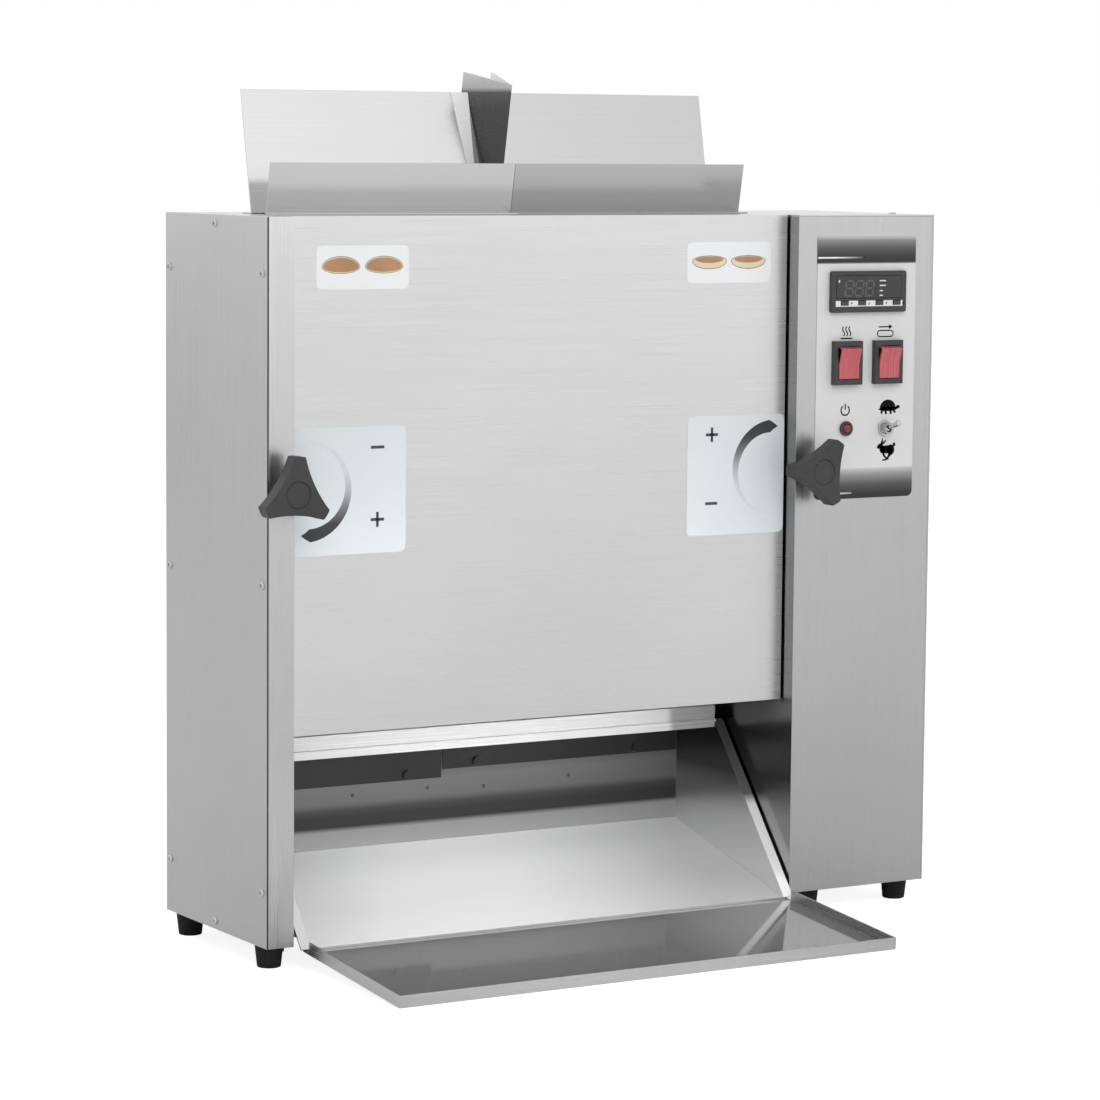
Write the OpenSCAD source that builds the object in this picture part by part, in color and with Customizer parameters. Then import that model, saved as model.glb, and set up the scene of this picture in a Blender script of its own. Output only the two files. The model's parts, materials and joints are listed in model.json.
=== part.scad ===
// Vertical bun toaster: two side-by-side lanes, each with its own conveyor, run down past one
// heated platen and drop the toasted halves on a polished chute with a landing tray.
// Working coordinates: x from the left face, y from the front face, z from the cabinet's underside.

/* [Cabinet] */
// Width over the two side covers
body_w = 634; // [600:1:680]
// Depth from the front flange to the rear panel's outer face
body_d = 185; // [180:1:200]
// Height of the cabinet without its feet
body_h = 575; // [570:1:600]
// Width of the left column
left_w = 24; // [23:0.5:30]
// Width of the right control column
column_w = 139; // [136:1:160]
// Thickness of the folded sheet
sheet = 1.5; // [1.2:0.1:1.6]
// Width of the folded tabs that the covers are screwed to
tab_w = 14; // [12:1:16]

/* [Feet] */
// Height of the rubber feet
foot_h = 18; // [16:1:24]
// Diameter of a foot at the cabinet
foot_top_d = 23; // [18:1:24]
// Diameter of a foot at the counter
foot_low_d = 19; // [14:1:20]
// Distance of the feet from the front and rear faces
foot_inset_y = 20; // [16:1:34]
// Distance of the right column's outer feet from its outer face
foot_inset_x = 16; // [14:1:24]
// Distance of the right column's inner feet from its bay side
foot_inner_x = 30; // [14:1:50]

/* [Cover screws] */
// Diameter of a pan head
screw_head_d = 6.5; // [5:0.5:8]
// Height of a pan head
screw_head_h = 1.6; // [1:0.1:2.2]
// Thread diameter
screw_d = 3; // [2.5:0.5:4]
// Length under the head
screw_l = 7; // [5:1:9]
// Distance of the side screws from the front and rear edges
screw_inset_y = 8; // [7:0.5:10]
// Distance of the side screws from the top and bottom edges
screw_inset_z = 44; // [30:1:60]

/* [Front door] */
// Distance of the door behind the front flange
door_recess = 15; // [12:1:18]
// Height of the door's lower edge
door_bottom = 165; // [163:1:175]
// Gap between the door and each column
door_gap = 1.6; // [1:0.1:3]
// Depth of the folded edges at the sides and bottom
door_return = 7; // [5:1:8]
// Depth of the hook lip that hangs over the top rail
door_lip = 9; // [6:1:12]

/* [Feed plates] */
// Distance of the rear edge of the slot's front wall from the front face
slot_y = 76; // [75:0.5:80]
// Width of the feed slot, front to back
slot_w = 25; // [22:1:28]
// Clearance between a bay wall and the feed plates
lane_margin = 12; // [11:1:20]
// Height of the front feed plates
front_plate_h = 42; // [30:1:60]
// Height of the rear feed plate
rear_plate_h = 101; // [80:1:120]
// How much shorter the rear plate is at its right end
rear_plate_short = 12; // [0:1:20]
// Lean of the feed plates from upright
plate_lean = 11; // [8:0.5:14]
// Width of the feet of the feed plates
plate_foot = 16; // [12:1:20]
// Height of the lane divider above the top cover, at its front edge
divider_h = 105; // [104:1:130]
// Width of the divider at its open back
divider_w = 28; // [16:1:30]
// Depth of the divider, front to back
divider_d = 58; // [50:1:62]
// Distance of the divider to the left of the bay's middle
divider_shift = 3.5; // [0:0.5:6]

/* [Heater] */
// Thickness of the cast platen
platen_t = 22; // [18:1:24]
// Height of the platen's lower edge
platen_bottom = 153; // [152:1:160]
// Distance of the platen's upper edge below the cabinet's top
platen_drop = 14; // [12:1:20]
// Thickness of a release sheet
release_t = 0.6; // [0.4:0.1:1]
// Diameter of a tubular heating element
element_d = 8; // [6:0.5:10]
// Number of heating elements
element_count = 6; // [4:1:8]
// Thickness of the insulation board
insulation_t = 18; // [12:1:20]
// Gap between the insulation board and the heat shield
shield_gap = 6; // [3:1:8]

/* [Conveyors] */
// Distance of the drive shaft from the front face
shaft_y = 58; // [57:0.5:59]
// Distance of the drive shaft below the cabinet's top
shaft_drop = 50; // [45:1:60]
// Height of the idler rollers
idler_z = 186; // [184:1:200]
// Diameter of the rollers
roller_d = 36; // [30:1:37]
// Thickness of a belt
belt_t = 1.6; // [1:0.1:2]
// Clearance between a belt and its rollers
belt_clear = 0.3; // [0.2:0.05:0.4]
// Diameter of the drive shaft
shaft_d = 12; // [10:0.5:14]
// Diameter of the idler axles
axle_d = 10; // [8:0.5:12]
// Radial running clearance of shafts in their bores
run_clear = 0.05; // [0.03:0.01:0.08]
// Thickness of the conveyor side plates
cheek_t = 2; // [1.5:0.5:3]
// Gap between a conveyor frame and the bay wall
frame_gap = 10; // [8:0.5:11]
// Gap between the two conveyor frames
middle_gap = 8; // [6:1:12]
// Half swing of a conveyor about the drive shaft, in degrees
swing_deg = 2.1; // [1:0.1:2.2]

/* [Drive] */
// Gear module
gear_module = 1.5; // [1.25:0.25:1.5]
// Teeth on the drive gear
gear_teeth = 48; // [44:4:48]
// Teeth on the pinion
pinion_teeth = 16; // [16:4:20]
// Face width of the gears
gear_w = 10; // [8:1:11]
// Backlash at the pitch circle
backlash = 0.3; // [0.2:0.05:0.4]
// Direction of the pinion from the shaft, in degrees below the horizontal
pinion_angle = 40; // [35:1:50]
// Side of the square gearbox
gearbox_w = 50; // [44:1:54]
// Length of the gearbox
gearbox_l = 36; // [30:1:44]
// Diameter of the motor
motor_d = 46; // [40:1:50]
// Length of the motor
motor_l = 48; // [40:1:52]
// Diameter of the motor's output shaft
motor_shaft_d = 8; // [6:0.5:10]

/* [Adjusting knobs] */
// Height of the knob axes
knob_z = 361; // [350:1:380]
// Distance of a knob axis from the bay, measured into the column
knob_inset = 10.5; // [10:0.5:11]
// Radius over the lobes
knob_r = 30; // [26:1:32]
// Radius of the hollow flanks
knob_flank_r = 100; // [60:1:120]
// Radius at the narrowest place between two lobes
knob_waist_r = 16; // [14:0.5:17]
// Thickness of the lobes
knob_t = 14; // [10:1:18]
// Distance of the lobes from the front face
knob_stand = 14; // [12:1:26]
// Turn of both knobs at rest, clockwise
knob_turn = 3.5; // [0:0.5:10]
// Diameter of the knob's hub
hub_d = 17; // [14:1:20]
// Diameter of the adjusting screw
adjust_d = 8; // [6:0.5:9]
// Distance that the adjusting screw reaches behind its arm
adjust_over = 12; // [10:1:16]
// Diameter of the bright bush behind the knob
bush_d = 16; // [14:0.5:16]
// Thickness of the bush's flange
bush_flange = 3; // [2:0.5:4]
// Side of the square arm end that rides on the screw
arm_w = 14; // [13:1:16]

/* [Control panel] */
// Width of the overlay
overlay_w = 101; // [98:1:110]
// Height of the overlay
overlay_h = 224; // [200:1:228]
// Distance of the overlay's upper edge below the cabinet's top
overlay_drop = 16; // [12:0.5:22]
// Thickness of the overlay
overlay_t = 0.6; // [0.4:0.1:1]
// Corner radius of the overlay
overlay_r = 5; // [3:0.5:8]
// Width of the controller's bezel
controller_w = 77; // [74:1:80]
// Height of the controller's bezel
controller_h = 35; // [33:1:37]
// Distance of the controller's centre below the overlay's upper edge
controller_drop = 48.6; // [46:0.1:52]
// How far the bezel stands proud of the overlay
controller_proud = 4; // [3:0.5:6]
// Depth of the controller behind the front panel
controller_depth = 58; // [40:1:59]
// Width of a controller key
key_w = 7.5; // [7:0.5:10]
// Height of a controller key
key_h = 3.5; // [3:0.5:5]
// Travel of a controller key
key_travel = 0.8; // [0.5:0.1:1]
// Width of a switch housing
switch_w = 28.7; // [26:0.1:30]
// Height of a switch housing
switch_h = 37; // [34:0.5:40]
// How far a switch housing stands proud of the overlay
switch_proud = 5.5; // [4:0.5:7]
// Distance of the switches' centre below the overlay's upper edge
switch_drop = 108.5; // [104:0.5:112]
// Distance between the two switches
switch_pitch = 41.7; // [36:0.1:44]
// Width of a rocker
rocker_w = 20.5; // [18:0.5:22]
// Radius of a rocker's ends about its pivot
rocker_r = 13.8; // [13:0.2:14.4]
// Angle that a rocker turns through between off and on
rocker_throw = 18; // [12:1:20]
// Distance of the power lamp below the overlay's upper edge
lamp_drop = 164.2; // [160:0.1:168]
// Distance of the lamp from the overlay's left edge
lamp_x = 31; // [26:0.5:36]
// Diameter of the lamp's bezel
lamp_d = 12.6; // [10:0.2:14]
// Distance of the speed toggle below the overlay's upper edge
toggle_drop = 165; // [162:0.5:168]
// Distance of the toggle from the overlay's left edge
toggle_x = 71.2; // [66:0.1:76]
// Width of the toggle's nut across its flats
toggle_nut_w = 13; // [12:0.5:15]
// How far the toggle's bush stands proud of the overlay
toggle_proud = 7; // [6:0.5:9]
// Length of the toggle's lever from its pivot
toggle_l = 19; // [16:0.5:22]
// Angle that the toggle's lever turns through between slow and fast
toggle_throw = 36; // [30:1:36]

/* [Landing chute and tray] */
// Distance of the chute's brow from the front face
brow_y = 104; // [104:0.5:106]
// Height of the brow's hem
brow_z = 137; // [130:1:138]
// Height of the brow above its hem
brow_h = 12; // [8:1:13]
// How far the chute's lower edge stands out in front
chute_front = 9; // [6:1:14]
// Distance of the chute's back wall from the front face
chute_back = 163; // [155:1:164]
// Height of the slope's upper end
slope_top = 42; // [38:1:50]
// Height of the chute's back wall
back_wall_top = 131; // [125:1:135]
// Gap between a bay wall and the chute's side wall
chute_gap = 10; // [9:0.5:12]
// Width of the hem flanges
hem_w = 8; // [5:0.5:8]
// Length of the tray
tray_l = 156; // [120:1:170]
// Height of the tray's lips
tray_lip = 10; // [8:1:14]
// Downward tilt of the tray, in degrees
tray_tilt = 5; // [3:0.5:5]
// Gap between the tray's front edge and the counter
tray_clear = 0.4; // [0.3:0.1:1]
// Gap under the chute where it lies on its rails
seat_clear = 0.2; // [0.1:0.05:0.3]
// Thickness of the black liner strips
liner_t = 1; // [0.6:0.1:1.5]

/* [Cable entry] */
// Diameter of the gland's bore
gland_bore_d = 10; // [8:0.5:12]
// Height of the gland
gland_z = 48; // [40:1:80]
// How far the gland stands out of the rear wall
gland_l = 14; // [10:1:18]

/* [Hidden] */
$fn = 64;

// Small overlap that makes a cut pass right through a wall
cut = 1;
// Clearance around pieces that are set into a hole
set_clear = 0.2;
// Thickness of the feed plates and of the divider
plate_t = 1.2;

// Cabinet
column_x = body_w - column_w;
bay_mid = (left_w + column_x) / 2;
screw_hole_r = screw_d / 2 + run_clear;
screw_rows = [screw_inset_z, body_h / 2, body_h - screw_inset_z];
screw_columns = [screw_inset_y, body_d - screw_inset_y];

// Front door and its rail
door_x0 = left_w + door_gap;
door_x1 = column_x - door_gap;
hook_gap = 2;
hook_y = door_recess + door_return + hook_gap;
rail_drop = 40;
rail_gap = 0.3;
rail_foot = 10;
cover_gap = 1;
cover_y0 = hook_y + sheet + cover_gap;

// Feed slot, platen and what lies behind it
lane_x0 = left_w + lane_margin;
lane_x1 = column_x - lane_margin;
slot_back = slot_y + slot_w;
slot_edge = 4;
release_gap = 1;
release_y = slot_back + release_gap;
platen_y = release_y + release_t;
platen_back = platen_y + platen_t;
platen_top = body_h - platen_drop;
element_y = platen_back + element_d / 2 + set_clear;
insulation_y = element_y + element_d / 2 + set_clear;
shield_y = insulation_y + insulation_t + shield_gap;
divider_set = 11.5;
divider_x = bay_mid - divider_shift;

// Conveyor frames: [outer left face, outer right face]
shaft_z = body_h - shaft_drop;
left_span = [left_w + frame_gap, bay_mid - middle_gap / 2];
right_span = [bay_mid + middle_gap / 2, column_x - frame_gap];
spans = [left_span, right_span];
roller_gap = 1.5;
roller_inset = cheek_t + roller_gap;
belt_gap = 1;
belt_inset = roller_inset + belt_gap;
belt_in_r = roller_d / 2 + belt_clear;
belt_out_r = belt_in_r + belt_t;
cheek_trim = 3;
cheek_half = roller_d / 2 - cheek_trim;
arm_reach = (shaft_z - knob_z) * sin(swing_deg);
arm_room = 3;
arm_slot_y = arm_w + 2 * (arm_reach + arm_room);
arm_slot_z = arm_w + 2 * arm_room;

// Drive
gear_gap = 2.5;
gear_x0 = column_x + sheet + gear_gap;
gear_distance = gear_module * (gear_teeth + pinion_teeth) / 2;
pinion_y = shaft_y + gear_distance * cos(pinion_angle);
pinion_z = shaft_z - gear_distance * sin(pinion_angle);
bracket_t = 3;
bracket_gap = 5;
bracket_x = gear_x0 + gear_w + bracket_gap;
gearbox_x = bracket_x + bracket_t;
bearing_l = 6;
bearing_wall = 3;
bearing_r = shaft_d / 2 + bearing_wall;
shaft_over = 3;
shaft_x0 = left_w - sheet - bearing_l;
shaft_x1 = gear_x0 + gear_w + shaft_over;

// Knobs
left_knob_x = left_w - knob_inset;
right_knob_x = column_x + knob_inset;
bush_wall = 2;
bush_r = adjust_d / 2 + bush_wall;
bush_back = 9;
hub_gap = 0.3;

// Control panel
overlay_x = column_x + (column_w - overlay_w) / 2;
overlay_mid = overlay_x + overlay_w / 2;
overlay_y = -overlay_t;
overlay_top = body_h - overlay_drop;
controller_z = overlay_top - controller_drop;
bezel_rim = 3;
bezel_r = 2;
controller_body_w = controller_w - 2 * bezel_rim;
controller_body_h = controller_h - 2 * bezel_rim;
controller_face = overlay_y - controller_proud;
window_rim = 5;
window_w = controller_w - 2 * window_rim;
window_h = 19;
window_t = 1;
window_lift = 4;
window_z = controller_z + window_lift;
key_drop = 9.6;
key_pitch = 17.8;
key_shift = 1.6;
key_depth = 3;
switch_x = [overlay_mid - switch_pitch / 2, overlay_mid + switch_pitch / 2];
switch_face = overlay_y - switch_proud;
switch_z = overlay_top - switch_drop;
switch_rim = 1.2;
switch_body_w = switch_w - 2 * switch_rim;
switch_body_h = switch_h - 2 * switch_rim;
switch_depth = 22;
rocker_sink = 2.5;
rocker_y = switch_face + rocker_sink;
rocker_valley = 3.5;
rocker_pin_r = 2;
rocker_pin_l = 1.5;
lamp_mid = overlay_x + lamp_x;
lamp_z = overlay_top - lamp_drop;
lamp_rim = 1.5;
lamp_body_r = lamp_d / 2 - lamp_rim;
lens_rim = 2.2;
lens_seat = 2;
lamp_lens_r = lamp_d / 2 - lens_rim;
lamp_proud = 2.5;
toggle_mid = overlay_x + toggle_x;
toggle_z = overlay_top - toggle_drop;
toggle_face = overlay_y - toggle_proud;
toggle_sink = 3;
toggle_pivot_y = toggle_face + toggle_sink;
toggle_bush_r = 4.5;
toggle_bore_r = 3.2;
toggle_nut_t = 2.5;
toggle_nut_r = toggle_nut_w / 2 / cos(30);

// Chute and tray
chute_x0 = left_w + chute_gap;
chute_x1 = column_x - chute_gap;
tray_back_z = -foot_h + tray_clear + tray_l * sin(tray_tilt);
front_z = tray_back_z + sheet / cos(tray_tilt) + set_clear + sheet;
slope = (slope_top - front_z) / (chute_back + chute_front);
tray_tuck = 5;
function floor_z(y) = front_z + slope * (y + chute_front);

// Half angle that a lobe's round end spans, and how far a knob reaches sideways
flank_x = knob_waist_r + knob_flank_r;
flank_cos = (knob_r * knob_r + flank_x * flank_x - knob_flank_r * knob_flank_r) / (2 * knob_r * flank_x);
lobe_half = 60 - acos(flank_cos);
knob_side = knob_r * cos(30 - lobe_half - knob_turn);

// Middle of the part's box, which carries the origin
x_low = left_knob_x - knob_side;
x_high = body_w + screw_head_h;
y_low = -chute_front - tray_l * cos(tray_tilt) - tray_lip * sin(tray_tilt);
y_high = body_d + gland_l;

// Moves the working coordinates so that the origin is the middle of the box on the counter
module place() {
    translate([-(x_low + x_high) / 2, -(y_low + y_high) / 2, foot_h]) children();
}

// Box between two corners
module block(low, high) {
    translate(low) cube(high - low);
}

// Outline given in y and z, drawn out along x
module x_prism(x0, x1) {
    translate([x0, 0, 0]) rotate([90, 0, 90]) linear_extrude(x1 - x0) children();
}

// Round bars and holes along each axis
module bar_x(x0, x1, y, z, r) {
    translate([x0, y, z]) rotate([0, 90, 0]) cylinder(h = x1 - x0, r = r);
}
module bar_y(x, y0, y1, z, r) {
    translate([x, y0, z]) rotate([-90, 0, 0]) cylinder(h = y1 - y0, r = r);
}

// Six-sided nut along y
module hex_y(x, y, z, h, r) {
    translate([x, y, z]) rotate([-90, 0, 0]) cylinder(h = h, r = r, $fn = 6);
}

// Upright panel with rounded corners, seen from the front
module rounded_panel(x, z, w, h, y0, y1, r) {
    block([x + r, y0, z], [x + w - r, y1, z + h]);
    block([x, y0, z + r], [x + w, y1, z + h - r]);
    for (cx = [x + r, x + w - r], cz = [z + r, z + h - r]) bar_y(cx, y0, y1, cz, r);
}

// Holes for one side cover's screws
module side_screw_holes(x0, x1) {
    for (y = screw_columns, z = screw_rows) bar_x(x0, x1, y, z, screw_hole_r);
    for (z = [tab_w / 2, body_h - tab_w / 2]) bar_x(x0, x1, body_d / 2, z, screw_hole_r);
}

// Frame that a side cover closes, drawn as the ring of tabs at x0
module side_tabs(x0) {
    difference() {
        block([x0, sheet, sheet], [x0 + sheet, body_d - sheet, body_h - sheet]);
        block([x0 - cut, sheet + tab_w, sheet + tab_w],
            [x0 + sheet + cut, body_d - sheet - tab_w, body_h - sheet - tab_w]);
        side_screw_holes(x0 - cut, x0 + sheet + cut);
    }
}

// Places of the rear panel's screws
rear_screw_x = [left_w + tab_w / 2, column_x - tab_w / 2];
rear_screw_z = [screw_inset_z, body_h / 2, body_h - screw_inset_z];
// Corner tab of the right cap and the places of its screws
cap_tab = 3 * tab_w;
cap_screws = [[column_x + tab_w / 2, body_d - screw_inset_z],
    [body_w - 2 * tab_w, screw_inset_y + tab_w]];

// Tabs in the bay that carry the rear panel and the top cover
module bay_tabs(x0, x1) {
    difference() {
        block([x0, body_d - 2 * sheet, sheet], [x1, body_d - sheet, body_h - 2 * sheet]);
        for (z = rear_screw_z)
            bar_y((x0 + x1) / 2, body_d - 2 * sheet - cut, body_d - sheet + cut, z, screw_hole_r);
    }
    block([x0, cover_y0, body_h - 2 * sheet], [x1, slot_y - slot_edge, body_h - sheet]);
    block([x0, slot_back + slot_edge, body_h - 2 * sheet], [x1, body_d - sheet, body_h - sheet]);
}

// Opening in a column's inner wall for the conveyor arm
module arm_slot(x0, x1) {
    block([x0, shaft_y - arm_slot_y / 2, knob_z - arm_slot_z / 2],
        [x1, shaft_y + arm_slot_y / 2, knob_z + arm_slot_z / 2]);
}

module left_frame() {
    color("lightgray") place() difference() {
        union() {
            block([sheet, 0, 0], [left_w, sheet, body_h]);
            block([sheet, body_d - sheet, 0], [left_w, body_d, body_h]);
            block([left_w - sheet, 0, 0], [left_w, body_d, body_h]);
            block([sheet, 0, 0], [left_w, body_d, sheet]);
            block([sheet, 0, body_h - sheet], [left_w, body_d, body_h]);
            side_tabs(sheet);
            bay_tabs(left_w, left_w + tab_w);
        }
        bar_y(left_knob_x, -cut, sheet + cut, knob_z, bush_r + run_clear);
        bar_x(left_w - sheet - cut, left_w + cut, shaft_y, shaft_z, bearing_r + run_clear);
        arm_slot(left_w - sheet - cut, left_w + cut);
    }
}

// Flat cover, one for each side
module side_cover(x0) {
    difference() {
        block([x0, 0, 0], [x0 + sheet, body_d, body_h]);
        side_screw_holes(x0 - cut, x0 + sheet + cut);
    }
}
module left_side_cover() {
    color("silver") place() side_cover(0);
}
module right_side_cover() {
    color("silver") place() side_cover(body_w - sheet);
}

module right_housing() {
    x1 = body_w - sheet;
    cap_z = body_h - 2 * sheet;
    color("lightgray") place() difference() {
        union() {
            block([column_x, 0, 0], [x1, sheet, body_h - sheet]);
            block([column_x, body_d - sheet, 0], [x1, body_d, body_h - sheet]);
            block([column_x, 0, 0], [column_x + sheet, body_d, body_h - sheet]);
            block([column_x, 0, 0], [x1, body_d, sheet]);
            side_tabs(x1 - sheet);
            bay_tabs(column_x - tab_w, column_x);
            block([column_x, sheet, cap_z], [column_x + tab_w, body_d - sheet, body_h - sheet]);
            block([x1 - cap_tab, sheet, cap_z], [x1, cap_tab, body_h - sheet]);
        }
        controller_hole();
        for (x = switch_x) switch_hole(x);
        bar_y(lamp_mid, -cut, sheet + cut, lamp_z, lamp_body_r + run_clear);
        bar_y(toggle_mid, -cut, sheet + cut, toggle_z, toggle_bush_r + run_clear);
        bar_y(right_knob_x, -cut, sheet + cut, knob_z, bush_r + run_clear);
        bar_x(column_x - cut, column_x + sheet + cut, shaft_y, shaft_z, bearing_r + run_clear);
        arm_slot(column_x - cut, column_x + sheet + cut);
        bar_y(gland_x, body_d - sheet - cut, body_d + cut, gland_z, gland_r + run_clear);
        for (p = cap_screws)
            translate([p[0], p[1], body_h - 3 * sheet]) cylinder(h = 3 * sheet, r = screw_hole_r);
    }
}

module right_top_cap() {
    color("silver") place() difference() {
        block([column_x, 0, body_h - sheet], [body_w - sheet, body_d, body_h]);
        for (p = cap_screws)
            translate([p[0], p[1], body_h - sheet - cut]) cylinder(h = sheet + 2 * cut, r = screw_hole_r);
    }
}

// Pan-head screw with its head on the plane z = 0
head_rim_h = 0.55 * screw_head_h;
head_crown_d = 0.7 * screw_head_d;

module pan_screw() {
    cylinder(h = head_rim_h, d = screw_head_d);
    translate([0, 0, head_rim_h])
        cylinder(h = screw_head_h - head_rim_h, d1 = screw_head_d, d2 = head_crown_d);
    translate([0, 0, -screw_l]) cylinder(h = screw_l, d = screw_d);
}

module cover_screws() {
    color("gainsboro") place() {
        for (y = screw_columns, z = screw_rows) {
            translate([0, y, z]) rotate([0, -90, 0]) pan_screw();
            translate([body_w, y, z]) rotate([0, 90, 0]) pan_screw();
        }
        for (z = [tab_w / 2, body_h - tab_w / 2]) {
            translate([0, body_d / 2, z]) rotate([0, -90, 0]) pan_screw();
            translate([body_w, body_d / 2, z]) rotate([0, 90, 0]) pan_screw();
        }
        for (x = rear_screw_x, z = rear_screw_z)
            translate([x, body_d, z]) rotate([-90, 0, 0]) pan_screw();
        for (p = cap_screws) translate([p[0], p[1], body_h]) pan_screw();
    }
}

// Vent slots of the rear panel
vent_w = 5;
vent_h = 46;
vent_count = 14;
vent_pitch = (column_x - left_w - 6 * tab_w) / (vent_count - 1);

module rear_panel() {
    color("silver") place() difference() {
        block([left_w, body_d - sheet, 0], [column_x, body_d, body_h - 2 * sheet]);
        for (x = rear_screw_x, z = rear_screw_z)
            bar_y(x, body_d - sheet - cut, body_d + cut, z, screw_hole_r);
        for (i = [0:vent_count - 1], z = [screw_inset_z + tab_w, body_h - screw_inset_z - tab_w - vent_h])
            translate([left_w + 3 * tab_w + i * vent_pitch - vent_w / 2, body_d - sheet - cut, z])
                cube([vent_w, sheet + 2 * cut, vent_h]);
    }
}

module front_top_rail() {
    y1 = hook_y - rail_gap;
    low = body_h - rail_drop;
    color("lightgray") place() {
        block([left_w, y1 - sheet, low], [column_x, y1, body_h - sheet - rail_gap]);
        block([left_w, y1 - sheet, low], [column_x, y1 + rail_foot, low + sheet]);
    }
}

// Rails that carry the chute: one sloping ledge on each bay wall, and a cross rail at the back
ledge_y = [20, 150];
ledge_w = 14;
ledge_leg = 12;
cross_rail_h = 30;
cross_rail_gap = 4;
cross_rail_y = chute_back + sheet + cross_rail_gap;

module ledge_outline(depth) {
    drop = sheet + seat_clear;
    polygon([for (y = ledge_y) [y, floor_z(y) - drop], for (y = [ledge_y[1], ledge_y[0]])
        [y, floor_z(y) - drop - depth]]);
}

module chute_rails() {
    color("gray") place() {
        x_prism(left_w, chute_x0 + ledge_w) ledge_outline(sheet);
        x_prism(left_w, left_w + sheet) ledge_outline(ledge_leg);
        x_prism(chute_x1 - ledge_w, column_x) ledge_outline(sheet);
        x_prism(column_x - sheet, column_x) ledge_outline(ledge_leg);
        block([left_w, cross_rail_y, sheet], [column_x, cross_rail_y + sheet, cross_rail_h]);
        block([left_w, cross_rail_y, sheet], [column_x, body_d - 2 * sheet, 2 * sheet]);
    }
}

module top_cover() {
    color("silver") place() difference() {
        block([left_w, cover_y0, body_h - sheet], [column_x, body_d, body_h]);
        block([lane_x0, slot_y, body_h - sheet - cut], [lane_x1, slot_back, body_h + cut]);
    }
}

module feet() {
    places = [for (x = [left_w / 2, column_x + foot_inner_x, body_w - foot_inset_x],
        y = [foot_inset_y, body_d - foot_inset_y]) [x, y]];
    color("black") place() for (p = places)
        translate([p[0], p[1], -foot_h]) cylinder(h = foot_h, d1 = foot_low_d, d2 = foot_top_d);
}

module platen() {
    color("dimgray") place()
        block([left_span[0], platen_y, platen_bottom], [right_span[1], platen_back, platen_top]);
}

// Straight tubular elements behind the platen, each with a thinner terminal pin at both ends
element_margin = 30;
element_pin_l = 14;
element_pitch = (platen_top - platen_bottom - 2 * element_margin) / (element_count - 1);
element_x = [left_span[0] + element_margin, right_span[1] - element_margin];

module heating_elements() {
    low = platen_bottom + element_margin;
    color("brown") place() for (i = [0:element_count - 1]) {
        z = low + i * element_pitch;
        bar_x(element_x[0], element_x[1], element_y, z, element_d / 2);
        bar_x(element_x[0] - element_pin_l, element_x[1] + element_pin_l, element_y, z, element_d / 4);
    }
}

module insulation_board() {
    color("beige") place() block([left_span[0], insulation_y, platen_bottom],
        [right_span[1], insulation_y + insulation_t, platen_top]);
}

module heat_shield() {
    color("silver") place() block([left_span[0], shield_y, platen_bottom],
        [right_span[1], shield_y + sheet, platen_top]);
}

// Four end brackets that hold the platen, the board and the shield between the bay walls
bracket_h = 36;
bracket_set = 3;
bracket_z = [platen_bottom + bracket_h, platen_top - 2 * bracket_h];

module platen_brackets() {
    y0 = platen_y + bracket_set;
    color("gray") place() for (z = bracket_z) {
        block([left_w, y0, z], [left_span[0], shield_y + sheet, z + bracket_h]);
        block([right_span[1], y0, z], [column_x, shield_y + sheet, z + bracket_h]);
    }
}

// Black release sheet over the platen's face in each lane, folded back over its top
release_fold = 14;

module release_sheets() {
    color("black") place() for (s = spans) {
        block([s[0] + cheek_t, release_y, platen_bottom], [s[1] - cheek_t, platen_y, platen_top]);
        block([s[0] + cheek_t, release_y, platen_top],
            [s[1] - cheek_t, platen_y + release_fold, platen_top + release_t]);
    }
}

clamp_h = 4;
clamp_inset = 2;
clamp_bolts = 6;

module sheet_clamp_bar() {
    z = platen_top + release_t;
    step = (right_span[1] - left_span[0] - 2 * element_margin) / (clamp_bolts - 1);
    color("gainsboro") place() {
        block([left_span[0] + cheek_t, platen_y + clamp_inset, z],
            [right_span[1] - cheek_t, platen_y + release_fold - clamp_inset, z + clamp_h]);
        for (i = [0:clamp_bolts - 1])
            translate([left_span[0] + element_margin + i * step, platen_y + release_fold / 2, z + clamp_h])
                cylinder(h = screw_head_h, d = screw_head_d);
    }
}

// Feed plate that stands on the top cover at y, with its foot to the side (-1 front, 1 rear) it leans to
module feed_plate(x0, x1, y, height, side) {
    thick = plate_t / cos(plate_lean);
    y0 = side < 0 ? y - thick : y;
    shift = side * height * sin(plate_lean);
    top_z = body_h + height * cos(plate_lean);
    x_prism(x0, x1) {
        polygon([[y0, body_h], [y0 + thick, body_h], [y0 + thick + shift, top_z], [y0 + shift, top_z]]);
        translate([side < 0 ? y - plate_foot : y, body_h]) square([plate_foot, plate_t]);
    }
}

module left_front_feed_plate() {
    color("whitesmoke") place()
        feed_plate(lane_x0, bay_mid - set_clear, slot_y, front_plate_h, -1);
}
module right_front_feed_plate() {
    color("whitesmoke") place()
        feed_plate(bay_mid + set_clear, lane_x1, slot_y, front_plate_h, -1);
}
module rear_feed_plate() {
    color("whitesmoke") place()
        feed_plate(lane_x0, lane_x1 - rear_plate_short, slot_back, rear_plate_h, 1);
}

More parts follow.
